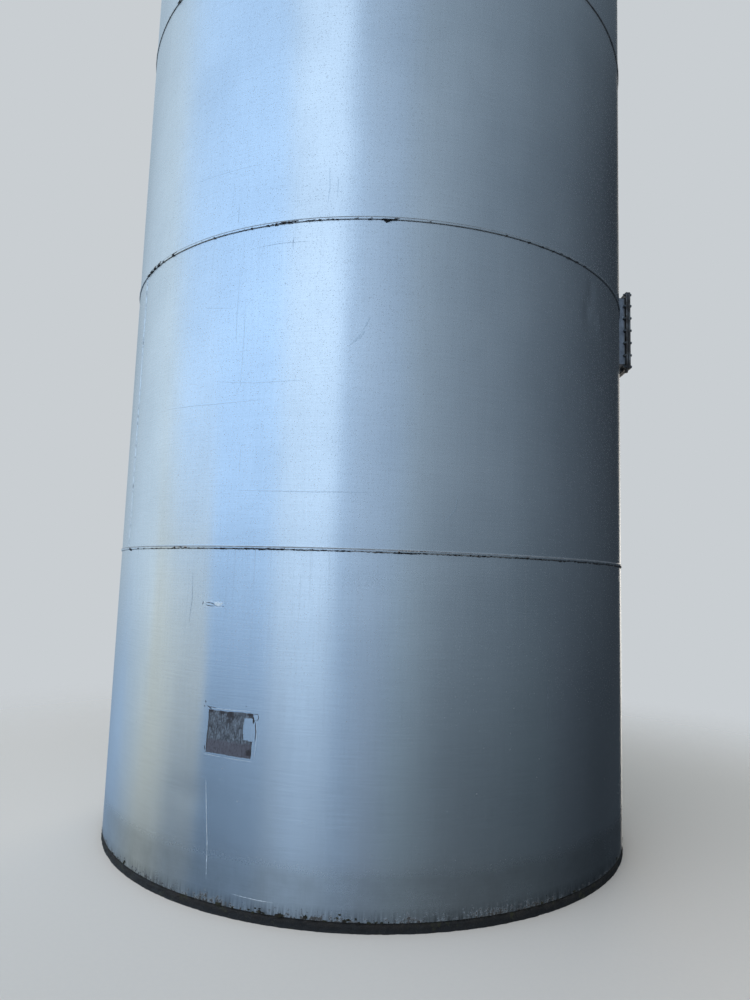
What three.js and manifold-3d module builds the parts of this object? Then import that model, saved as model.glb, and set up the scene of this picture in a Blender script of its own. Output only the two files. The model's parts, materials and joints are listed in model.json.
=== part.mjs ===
// Welded aluminium storage silo: a round skirted shell of lapped courses, a hopper cone inside it, a shallow
// cone roof, a bolted side hatch and a walk-in skirt door. Millimetres, +Z up, origin on the shell's axis at
// ground level. The photographed side faces -Y and the side hatch faces +X.
import * as THREE from 'three';
import { mergeVertices } from 'three/addons/utils/BufferGeometryUtils.js';
import Module from 'manifold-3d';

const wasm = await Module();
wasm.setup();

// Driving dimensions
const SHELL_RADIUS = 1828.8;        // outside of the plates, a 12 ft shell
const COURSE_HEIGHT = 1828.8;       // one 72 in wide plate per course
const COURSE_COUNT = 7;
const PLATE = 6.4;                  // shell, cone and roof plate
const FACETS = 72;                  // flats round the shell
const GAP = 0.3;                    // air between curved or cut neighbours
const GROUT_HEIGHT = 51.2;
const GROUT_WIDTH = 100;
const GROUT_PROUD = 4;
const LAP_HEIGHT = 18;              // height of a course's lip over the course below
const JOGGLE_HEIGHT = 8;            // height over which a plate is set out to form its lip

const BASE_ANGLE_LEG = 76;
const ANGLE_THICKNESS = 9.5;
const CONE_TOP = 3200;              // junction of the hopper cone and the shell
const CONE_STRIP = 40;              // upright strip that welds the cone to the shell
const OUTLET_RADIUS = 160;
const OUTLET_DROP = 90;
const OUTLET_FLANGE_RADIUS = 230;
const OUTLET_FLANGE = 12;

const ROOF_SLOPE = 15 * THREE.MathUtils.DEG2RAD;
const ROOF_RIM = 60;                // flat rim of the roof on the eave angle
const MANWAY_RADIUS = 305;
const MANWAY_HEIGHT = 150;
const MANWAY_FLANGE = 38;

// Seams of the courses, as azimuths in degrees from -Y towards +X: one weld here and one opposite
const SEAM_AZIMUTHS = [-82, -59, -76, -86, -64, -80, -70];

// Side hatch, on +X across the second seam
const HATCH_CENTRE_Z = 3708;
const HATCH_FLANGE = { width: 516, height: 610 };
const HATCH_NECK = { width: 464, height: 536 };
const HATCH_WALL = 9.5;
const HATCH_NECK_INNER_X = 1790;
const HATCH_PLANES = { flange: 1899, gasket: 1911.5, frame: 1917.5, face: 1933.5 };
const HATCH_WINDOW = { width: 400, height: 494 };
const HATCH_PAN = { back: 1845, rim: 1929, wall: 4, floor: 5 };
const HATCH_LUG = { width: 30, height: 28 };

// Skirt door, on +Y
const DOOR_FACE_Y = 1874;
const DOOR_NECK_INNER_Y = 1735;
const DOOR_SILL_Z = 135;
const DOOR_NECK = { width: 960, height: 2150 };
const DOOR_NECK_WALL = 10;
const DOOR_FLANGE = { margin: 36, thickness: 12 };
const DOOR_CLEARANCE = 7;
const DOOR_DEPTH = 45;
const DOOR_SKIN = 6;
const DOOR_STOP = { width: 20, thickness: 12, clearance: 5 };
const HINGE_HEIGHTS = [450, 1210, 1970];
const HINGE = { radius: 10, pin: 5, clearance: 0.5, reach: 12, length: 120, plate: 44, thickness: 5 };

const LUG_AZIMUTHS = [47.5, 132.5, 227.5, 312.5];
const LUG = { width: 150, below: 240, above: 110, thickness: 16, hole: 24 };

const DEG = THREE.MathUtils.DEG2RAD;
const INNER_RADIUS = SHELL_RADIUS - PLATE;
const APOTHEM = SHELL_RADIUS * Math.cos(Math.PI / FACETS);
const SHELL_TOP = GROUT_HEIGHT + COURSE_COUNT * COURSE_HEIGHT;
const FAR = 4000;                   // reach of a cutting box, past everything it cuts

// A closed three.js geometry as a solid
function solidOf(geometry) {
  geometry.deleteAttribute('normal');
  geometry.deleteAttribute('uv');
  const merged = mergeVertices(geometry, 1e-3);
  return new wasm.Manifold(new wasm.Mesh({
    numProp: 3,
    vertProperties: new Float32Array(merged.attributes.position.array),
    triVerts: new Uint32Array(merged.index.array),
  }));
}

// A solid as a three.js geometry
function geometryOf(solid) {
  const mesh = solid.getMesh();
  const geometry = new THREE.BufferGeometry();
  geometry.setAttribute('position', new THREE.BufferAttribute(mesh.vertProperties, 3));
  geometry.setIndex(new THREE.BufferAttribute(mesh.triVerts, 1));
  geometry.computeVertexNormals();
  return geometry;
}

// A profile of [radius, height] points, anticlockwise and closed on itself or on the axis, turned about Z
function turned(profile, facets = FACETS) {
  const points = profile.map(([r, z]) => new THREE.Vector2(r, z));
  if (profile.every(([r]) => r > 0)) points.push(points[0].clone());
  const lathe = new THREE.LatheGeometry(points, facets);
  lathe.rotateX(Math.PI / 2);
  return solidOf(lathe);
}

// A box between two corners
function block([x0, y0, z0], [x1, y1, z1]) {
  const box = new THREE.BoxGeometry(x1 - x0, y1 - y0, z1 - z0);
  box.translate((x0 + x1) / 2, (y0 + y1) / 2, (z0 + z1) / 2);
  return solidOf(box);
}

// A round bar along Z
function bar(x, y, z0, z1, radius, sides = 16) {
  const cylinder = new THREE.CylinderGeometry(radius, radius, z1 - z0, sides);
  cylinder.rotateX(Math.PI / 2);
  cylinder.translate(x, y, (z0 + z1) / 2);
  return solidOf(cylinder);
}

// The half of a ring that runs 180 degrees on from a seam, short of the seams by half a gap
function halfFrom(ring, azimuth) {
  const box = new THREE.BoxGeometry(FAR, 2 * FAR, 2 * SHELL_TOP);
  box.translate((FAR + GAP) / 2, 0, SHELL_TOP / 2);
  box.rotateZ(azimuth * DEG);
  return ring.intersect(solidOf(box));
}

const finishes = {
  aluminium: new THREE.MeshStandardMaterial({ color: 0x8e9ba6, roughness: 0.42, metalness: 0.9 }),
  weldedAluminium: new THREE.MeshStandardMaterial({ color: 0x7d8790, roughness: 0.55, metalness: 0.85 }),
  grout: new THREE.MeshStandardMaterial({ color: 0x4b4a41, roughness: 0.95, metalness: 0 }),
  gasket: new THREE.MeshStandardMaterial({ color: 0x1d1e20, roughness: 0.8, metalness: 0 }),
  steel: new THREE.MeshStandardMaterial({ color: 0x565a5e, roughness: 0.5, metalness: 0.9 }),
};

const silo = new THREE.Group();

function addPiece(parent, name, solid, finish) {
  const mesh = new THREE.Mesh(geometryOf(solid), finish);
  mesh.name = name;
  parent.add(mesh);
  return mesh;
}

// Height of the bottom edge of a course, counted from 0
function courseBottom(index) {
  return GROUT_HEIGHT + index * COURSE_HEIGHT;
}

// Full ring of one course: a plate whose bottom is set out over the course below as a lip
function courseRing(index) {
  const bottom = courseBottom(index);
  const isLast = index === COURSE_COUNT - 1;
  const top = isLast ? SHELL_TOP : bottom + COURSE_HEIGHT + LAP_HEIGHT - GAP;
  if (index === 0) {
    return turned([[INNER_RADIUS, bottom + GAP], [SHELL_RADIUS, bottom + GAP],
      [SHELL_RADIUS, top], [INNER_RADIUS, top]]);
  }
  const lap = bottom + LAP_HEIGHT;
  const plain = lap + JOGGLE_HEIGHT;
  return turned([
    [SHELL_RADIUS + GAP, bottom], [SHELL_RADIUS + GAP + PLATE, bottom], [SHELL_RADIUS + GAP + PLATE, lap],
    [SHELL_RADIUS, plain], [SHELL_RADIUS, top], [INNER_RADIUS, top], [INNER_RADIUS, plain],
    [SHELL_RADIUS + GAP, lap],
  ]);
}

// Room that the hatch neck takes in the shell
function hatchHole() {
  const halfWidth = HATCH_NECK.width / 2 + GAP;
  const halfHeight = HATCH_NECK.height / 2 + GAP;
  return block([0, -halfWidth, HATCH_CENTRE_Z - halfHeight], [FAR, halfWidth, HATCH_CENTRE_Z + halfHeight]);
}

// Room that the door frame takes in the shell
function doorHole() {
  const halfWidth = DOOR_NECK.width / 2 + GAP;
  return block([-halfWidth, 0, DOOR_SILL_Z - GAP], [halfWidth, FAR, DOOR_SILL_Z + DOOR_NECK.height + GAP]);
}

function buildShell() {
  const shell = new THREE.Group();
  for (let index = 0; index < COURSE_COUNT; index += 1) {
    const ring = courseRing(index).subtract(hatchHole()).subtract(doorHole());
    const seam = SEAM_AZIMUTHS[index];
    const name = `course_${index + 1}`;
    addPiece(shell, `${name}_front_plate`, halfFrom(ring, seam), finishes.aluminium);
    addPiece(shell, `${name}_rear_plate`, halfFrom(ring, seam + 180), finishes.aluminium);
  }
  return shell;
}

// Grout bed and the rolled angle that carries the shell on it
function buildBase() {
  const base = new THREE.Group();
  const outer = SHELL_RADIUS + GROUT_PROUD;
  addPiece(base, 'grout_ring', turned([
    [outer - GROUT_WIDTH, 0], [outer, 0], [outer, GROUT_HEIGHT], [outer - GROUT_WIDTH, GROUT_HEIGHT],
  ]), finishes.grout);
  addPiece(base, 'base_angle_ring', angleRing(GROUT_HEIGHT + GAP, 1), finishes.weldedAluminium);
  return base;
}

// Rolled angle inside the shell, its flat leg at the given height and its upright leg going up (1) or down (-1)
function angleRing(height, direction) {
  const outer = INNER_RADIUS - GAP;
  const leg = outer - BASE_ANGLE_LEG;
  const inside = outer - ANGLE_THICKNESS;
  const flat = height + direction * ANGLE_THICKNESS;
  const end = height + direction * BASE_ANGLE_LEG;
  const profile = [[leg, height], [outer, height], [outer, end], [inside, end], [inside, flat], [leg, flat]];
  return turned(direction > 0 ? profile : profile.reverse());
}

// Hopper cone at 45 degrees under the bin, with its outlet spout and flange
function buildHopper() {
  const hopper = new THREE.Group();
  const outer = INNER_RADIUS - GAP;
  const bottom = CONE_TOP - (outer - OUTLET_RADIUS);
  const slant = PLATE * Math.SQRT2;
  const inner = outer - PLATE;
  addPiece(hopper, 'hopper_cone', turned([
    [OUTLET_RADIUS, bottom], [outer, CONE_TOP], [outer, CONE_TOP + CONE_STRIP], [inner, CONE_TOP + CONE_STRIP],
    [inner, CONE_TOP + slant - PLATE], [OUTLET_RADIUS - slant, bottom],
  ]), finishes.aluminium);
  const spoutTop = bottom - GAP;
  const spoutBottom = spoutTop - OUTLET_DROP;
  const bore = OUTLET_RADIUS - slant;
  addPiece(hopper, 'outlet_spout', turned([
    [bore, spoutBottom], [OUTLET_FLANGE_RADIUS, spoutBottom], [OUTLET_FLANGE_RADIUS, spoutBottom + OUTLET_FLANGE],
    [OUTLET_RADIUS, spoutBottom + OUTLET_FLANGE], [OUTLET_RADIUS, spoutTop], [bore, spoutTop],
  ]), finishes.weldedAluminium);
  return hopper;
}

// Shallow cone roof on the eave angle, with a plain manway at its centre
function buildRoof() {
  const roof = new THREE.Group();
  addPiece(roof, 'eave_angle_ring', angleRing(SHELL_TOP, -1), finishes.weldedAluminium);

  const rimTop = SHELL_TOP + GAP;
  const thickness = PLATE / Math.cos(ROOF_SLOPE);
  const rimRadius = SHELL_RADIUS - ROOF_RIM;
  const holeRadius = MANWAY_RADIUS + GAP;
  const holeZ = rimTop + (rimRadius - holeRadius) * Math.tan(ROOF_SLOPE);
  addPiece(roof, 'roof_deck', turned([
    [rimRadius, rimTop], [SHELL_RADIUS, rimTop], [SHELL_RADIUS, rimTop + thickness],
    [rimRadius, rimTop + thickness], [holeRadius, holeZ + thickness], [holeRadius, holeZ],
  ]), finishes.aluminium);

  const neckBottom = holeZ - MANWAY_FLANGE;
  const neckTop = holeZ + MANWAY_HEIGHT;
  const neckInner = MANWAY_RADIUS - PLATE;
  const flangeRadius = MANWAY_RADIUS + MANWAY_FLANGE;
  addPiece(roof, 'manway_neck', turned([
    [neckInner, neckBottom], [MANWAY_RADIUS, neckBottom], [MANWAY_RADIUS, neckTop - ANGLE_THICKNESS],
    [flangeRadius, neckTop - ANGLE_THICKNESS], [flangeRadius, neckTop], [neckInner, neckTop],
  ]), finishes.weldedAluminium);

  const lidBottom = neckTop + GAP;
  const skirtInner = flangeRadius + 1;
  const skirtOuter = skirtInner + PLATE;
  const skirtBottom = lidBottom - 25;
  addPiece(roof, 'manway_lid', turned([
    [0, lidBottom], [skirtInner, lidBottom], [skirtInner, skirtBottom], [skirtOuter, skirtBottom],
    [skirtOuter, lidBottom + PLATE], [0, lidBottom + PLATE],
  ]), finishes.aluminium);
  return roof;
}

// A rectangle round the hatch's centre line, between two x planes
function hatchBlock(size, x0, x1) {
  const halfWidth = size.width / 2;
  const halfHeight = size.height / 2;
  return block([x0, -halfWidth, HATCH_CENTRE_Z - halfHeight], [x1, halfWidth, HATCH_CENTRE_Z + halfHeight]);
}

function inset(size, by) {
  return { width: size.width - 2 * by, height: size.height - 2 * by };
}

// Bolted side hatch: neck with a back flange, gasket, front frame and a deep pan set back inside the frame
function buildHatch() {
  const hatch = new THREE.Group();
  const { flange, gasket, frame, face } = HATCH_PLANES;
  const bore = inset(HATCH_NECK, HATCH_WALL);
  const lugTop = HATCH_CENTRE_Z - HATCH_FLANGE.height / 2;
  const lugSide = -HATCH_FLANGE.width / 2;
  const lug = block([flange, lugSide, lugTop - HATCH_LUG.height], [gasket, lugSide + HATCH_LUG.width, lugTop + 1]);
  addPiece(hatch, 'hatch_neck', hatchBlock(HATCH_NECK, HATCH_NECK_INNER_X, gasket)
    .add(hatchBlock(HATCH_FLANGE, flange, gasket))
    .add(lug)
    .subtract(hatchBlock(bore, 0, FAR)), finishes.weldedAluminium);
  addPiece(hatch, 'hatch_gasket', hatchBlock(HATCH_FLANGE, gasket, frame)
    .subtract(hatchBlock(HATCH_WINDOW, 0, FAR)), finishes.gasket);
  addPiece(hatch, 'hatch_frame', hatchBlock(HATCH_FLANGE, frame, face)
    .subtract(hatchBlock(HATCH_WINDOW, 0, FAR)), finishes.weldedAluminium);
  const pan = inset(HATCH_WINDOW, GAP);
  addPiece(hatch, 'hatch_panel', hatchBlock(pan, HATCH_PAN.back, HATCH_PAN.rim)
    .subtract(hatchBlock(inset(pan, HATCH_PAN.wall), HATCH_PAN.back + HATCH_PAN.floor, FAR)), finishes.aluminium);
  return hatch;
}

// A rectangle round the doorway, grown by a margin on every side, between two y planes
function doorBlock(margin, y0, y1) {
  const halfWidth = DOOR_NECK.width / 2 + margin;
  const top = DOOR_SILL_Z + DOOR_NECK.height + margin;
  return block([-halfWidth, y0, DOOR_SILL_Z - margin], [halfWidth, y1, top]);
}

// Frame of the skirt door: a plate neck through the shell, a flat front flange and a stop behind the leaf
function doorFrame() {
  const leafBack = DOOR_FACE_Y - DOOR_DEPTH;
  const stopFront = leafBack - DOOR_STOP.clearance;
  const neck = doorBlock(0, DOOR_NECK_INNER_Y, DOOR_FACE_Y)
    .add(doorBlock(DOOR_FLANGE.margin, DOOR_FACE_Y - DOOR_FLANGE.thickness, DOOR_FACE_Y))
    .subtract(doorBlock(-DOOR_NECK_WALL, 0, FAR));
  const stop = doorBlock(-DOOR_NECK_WALL + 1, stopFront - DOOR_STOP.thickness, stopFront)
    .subtract(doorBlock(-DOOR_NECK_WALL - DOOR_STOP.width, 0, FAR));
  return neck.add(stop);
}

// Door leaf: a plate with a turned-back edge and one rail across its back
function doorLeaf() {
  const edge = -DOOR_NECK_WALL - DOOR_CLEARANCE;
  const back = DOOR_FACE_Y - DOOR_DEPTH;
  const skinBack = DOOR_FACE_Y - DOOR_SKIN;
  const pan = doorBlock(edge, back, DOOR_FACE_Y).subtract(doorBlock(edge - DOOR_SKIN, 0, skinBack));
  const middle = DOOR_SILL_Z + DOOR_NECK.height / 2;
  const halfWidth = DOOR_NECK.width / 2 + edge - 1;
  const rail = block([-halfWidth, back, middle - 30], [halfWidth, skinBack + 1, middle + 30]);
  return pan.add(rail);
}

const hingeX = DOOR_NECK.width / 2 - DOOR_NECK_WALL - DOOR_CLEARANCE / 2;
const hingeY = DOOR_FACE_Y + HINGE.reach;

// The frame's half of a hinge: a plate on the flange, two knuckles and the pin
function frameHinge(z) {
  const [z0, z1] = [z - HINGE.length / 2, z + HINGE.length / 2];
  const third = HINGE.length / 3;
  const knuckle = bar(hingeX, hingeY, z0 + third - 1, z1 - third + 1, HINGE.radius + 1);
  const plate = block([hingeX + 1, DOOR_FACE_Y, z0], [hingeX + HINGE.plate, DOOR_FACE_Y + HINGE.thickness, z1]);
  return plate
    .add(bar(hingeX, hingeY, z0, z1, HINGE.radius))
    .subtract(knuckle)
    .add(bar(hingeX, hingeY, z0 + 1, z1 - 1, HINGE.pin));
}

// The leaf's half of a hinge: a plate on the leaf and the middle knuckle round the pin
function leafHinge(z) {
  const [z0, z1] = [z - HINGE.length / 2, z + HINGE.length / 2];
  const third = HINGE.length / 3;
  const plate = block([hingeX - HINGE.plate, DOOR_FACE_Y, z0], [hingeX - 4, DOOR_FACE_Y + HINGE.thickness, z1]);
  const room = bar(hingeX, hingeY, z0 - 1, z1 + 1, HINGE.radius + 1);
  return plate
    .subtract(room)
    .add(block([hingeX - HINGE.radius - 4, DOOR_FACE_Y, z0 + third], [hingeX - 4, hingeY - 5, z1 - third]))
    .add(bar(hingeX, hingeY, z0 + third, z1 - third, HINGE.radius))
    .subtract(bar(hingeX, hingeY, z0 - 1, z1 + 1, HINGE.pin + HINGE.clearance));
}

// Lever latch on the free side of the leaf
function doorLatch() {
  const x = -DOOR_NECK.width / 2 + DOOR_NECK_WALL + 75;
  const z = DOOR_SILL_Z + 980;
  const y = DOOR_FACE_Y;
  return block([x - 25, y, z - 90], [x + 25, y + 8, z + 90])
    .add(block([x - 10, y + 7, z + 10], [x + 10, y + 45, z + 30]))
    .add(block([x - 10, y + 33, z + 8], [x + 120, y + 45, z + 32]));
}

function buildDoor() {
  const door = new THREE.Group();
  addPiece(door, 'door_frame', doorFrame(), finishes.weldedAluminium);
  addPiece(door, 'door_leaf', doorLeaf(), finishes.aluminium);
  HINGE_HEIGHTS.forEach((z, index) => {
    addPiece(door, `door_hinge_${index + 1}_frame_half`, frameHinge(z), finishes.steel);
    addPiece(door, `door_hinge_${index + 1}_leaf_half`, leafHinge(z), finishes.steel);
  });
  addPiece(door, 'door_latch', doorLatch(), finishes.steel);
  return door;
}

// Lifting lug: a plate against one flat of the shell, round-topped above the roof's rim and with an eye
function liftingLug() {
  const radius = LUG.width / 2;
  const outline = new THREE.Shape();
  outline.moveTo(-radius, -LUG.below);
  outline.lineTo(radius, -LUG.below);
  outline.lineTo(radius, LUG.above - radius);
  outline.absarc(0, LUG.above - radius, radius, 0, Math.PI, false);
  outline.closePath();
  const eye = new THREE.Path();
  eye.absarc(0, LUG.above - radius + 8, LUG.hole, 0, 2 * Math.PI, true);
  outline.holes.push(eye);
  const plate = new THREE.ExtrudeGeometry(outline, { depth: LUG.thickness, bevelEnabled: false, curveSegments: 10 });
  plate.rotateX(Math.PI / 2);
  plate.translate(0, -APOTHEM - GAP, SHELL_TOP);
  return solidOf(plate);
}

function buildLugs() {
  const lugs = new THREE.Group();
  LUG_AZIMUTHS.forEach((azimuth, index) => {
    const lug = addPiece(lugs, `lifting_lug_${index + 1}`, liftingLug(), finishes.weldedAluminium);
    lug.rotation.z = azimuth * DEG;
  });
  return lugs;
}

silo.add(buildBase(), buildShell(), buildHopper(), buildRoof(), buildHatch(), buildDoor(), buildLugs());

export default silo;
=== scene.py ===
"""Looks of a welded aluminium storage silo: its plates, welds, bolts, hatch, door, roof, dirt and stage."""

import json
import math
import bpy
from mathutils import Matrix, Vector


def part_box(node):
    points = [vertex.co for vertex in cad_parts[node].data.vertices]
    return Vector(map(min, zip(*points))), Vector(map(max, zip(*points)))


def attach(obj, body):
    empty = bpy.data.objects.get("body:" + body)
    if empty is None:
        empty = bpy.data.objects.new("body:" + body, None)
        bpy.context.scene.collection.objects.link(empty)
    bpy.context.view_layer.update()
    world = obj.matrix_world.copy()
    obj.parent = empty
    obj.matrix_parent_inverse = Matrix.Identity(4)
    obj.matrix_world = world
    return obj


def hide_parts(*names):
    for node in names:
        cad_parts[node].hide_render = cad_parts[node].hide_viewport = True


bl_info = {
    "name": "Storage silo looks",
    "version": (1, 0, 0),
    "blender": (4, 5, 0),
    "location": "3D View > Sidebar > Silo",
    "description": "Weathered plates, welds, bolts and dirt of a welded aluminium storage silo",
    "category": "Object",
}

from functools import partial

import bmesh
import bpy
import numpy as np
from bpy.props import FloatProperty, FloatVectorProperty, IntProperty, PointerProperty
from bpy.types import Operator, Panel, PropertyGroup
from mathutils import Matrix

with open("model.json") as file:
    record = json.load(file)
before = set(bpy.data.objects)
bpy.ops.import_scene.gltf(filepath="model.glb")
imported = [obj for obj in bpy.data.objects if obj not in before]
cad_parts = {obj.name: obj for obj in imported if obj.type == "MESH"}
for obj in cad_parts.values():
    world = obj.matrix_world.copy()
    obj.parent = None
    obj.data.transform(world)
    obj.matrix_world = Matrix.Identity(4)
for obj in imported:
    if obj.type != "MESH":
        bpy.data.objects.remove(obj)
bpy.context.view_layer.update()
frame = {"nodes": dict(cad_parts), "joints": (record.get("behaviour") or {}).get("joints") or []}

SILO = "silo_body"
DOOR = "door"


def low(name):
    """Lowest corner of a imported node's box."""
    return np.array(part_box(name)[0], float)


def high(name):
    """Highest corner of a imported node's box."""
    return np.array(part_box(name)[1], float)


def span(name, axis):
    """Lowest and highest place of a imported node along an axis, 0 to 2."""
    return low(name)[axis], high(name)[axis]


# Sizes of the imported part, in metres
RADIUS = -low("course_1_front_plate")[1]
PLATE = 0.0064
AIR = 0.0003
# Height of the lip that shows at a lap, up to its joggle
LAP = 0.012
JOGGLE = 0.008
COURSES = 7
GROUT_TOP = high("grout_ring")[2]
COURSE_HEIGHT = low("course_3_front_plate")[2] - low("course_2_front_plate")[2]
EAVE = high("course_7_front_plate")[2]
# Azimuth of each course's upright weld on the left, the other one being opposite
SEAMS = (-82, -59, -76, -86, -64, -80, -70)
# Leg and thickness of the rolled angles, which is the manway flange's thickness too
LEG = 0.076
ROLLED = 0.0095
SPOUT_RADIUS = 0.160
ROOF_SLOPE = math.radians(15)
MANWAY_RADIUS = 0.305
HATCH_Z = sum(span("hatch_frame", 2)) / 2
HATCH_NECK = (0.464, 0.536)
HATCH_FLANGE = (0.516, 0.610)
HATCH_WINDOW = (0.400, 0.494)
HATCH_BACK = low("hatch_gasket")[0] - 0.0125
DOOR_Z = sum(span("door_leaf", 2)) / 2
DOOR_NECK = (0.960, 2.150)
LUG_AZIMUTHS = (47.5, 132.5, 227.5, 312.5)

# Where the floor starts and ends to fade out, in metres from the silo's axis
FLOOR_FADE = (3.2, 7.5)
# Where the camera stands, at eye height
EYE = (0.0117, -5.573, 1.734)


def course_bottom(index):
    """Height of a course's bottom edge, courses counted from 0."""
    return GROUT_TOP + index * COURSE_HEIGHT


# Colours and finishes


def linear(code):
    """An sRGB hex colour as linear RGB: c / 12.92 where dark, else ((c + 0.055) / 1.055) ** 2.4."""
    c = np.array([int(code[i:i + 2], 16) for i in (1, 3, 5)]) / 255
    return tuple(np.where(c <= 0.04045, c / 12.92, ((c + 0.055) / 1.055) ** 2.4))


def node(tree, kind, *values, out=None, ramp=None, **settings):
    """Adds one node and returns one of its outputs. Values go to its open sockets in order. Settings are its
    properties, or else its sockets, with underscores for spaces. A socket among them is linked. The ramp is a
    list of places and of colours or greys. Unless set otherwise, Math adds and Mix mixes colours."""
    made = tree.nodes.new("ShaderNode" + kind)
    if kind == "Mix":
        made.data_type = "RGBA"
    named = {}
    for key, value in settings.items():
        if key in made.bl_rna.properties:
            setattr(made, key, value)
        else:
            named[key.replace("_", " ")] = value
    pairs = list(zip([socket for socket in made.inputs if socket.enabled], values))
    pairs += [(made.inputs[key], value) for key, value in named.items()]
    for socket, value in pairs:
        if isinstance(value, bpy.types.NodeSocket):
            tree.links.new(value, socket)
        elif socket.type == "RGBA":
            socket.default_value = (*value, 1.0)[:4]
        else:
            socket.default_value = value
    if ramp:
        stops = made.color_ramp.elements
        while len(stops) < len(ramp):
            stops.new(1.0)
        for stop, (place, colour) in zip(stops, ramp):
            stop.position = place
            stop.color = (*colour, 1.0) if isinstance(colour, tuple) else (colour, colour, colour, 1.0)
    if out:
        return made.outputs[out]
    return next((socket for socket in made.outputs if socket.enabled), None)


def mottled(add, colour, patterns):
    """A colour times 1 plus each pattern's distance from its middle times its swing."""
    tone = 1.0
    for pattern, swing in patterns:
        pattern = add("Math", pattern, 0.5, operation="SUBTRACT")
        tone = add("Math", pattern, swing, tone, operation="MULTIPLY_ADD")
    return add("VectorMath", colour, tone, operation="SCALE")


def soiled(add, colour, coats):
    """Lays coats over a colour, each a mask, a colour and how much it covers. Returns the colour and how far
    the surface under them is hidden."""
    hidden = 0.0
    for mask, tint, cover in coats:
        mask = add("Math", mask, cover, operation="MULTIPLY")
        colour = add("Mix", mask, colour, tint)
        hidden = add("Math", mask, hidden, operation="MAXIMUM")
    return colour, hidden


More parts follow.
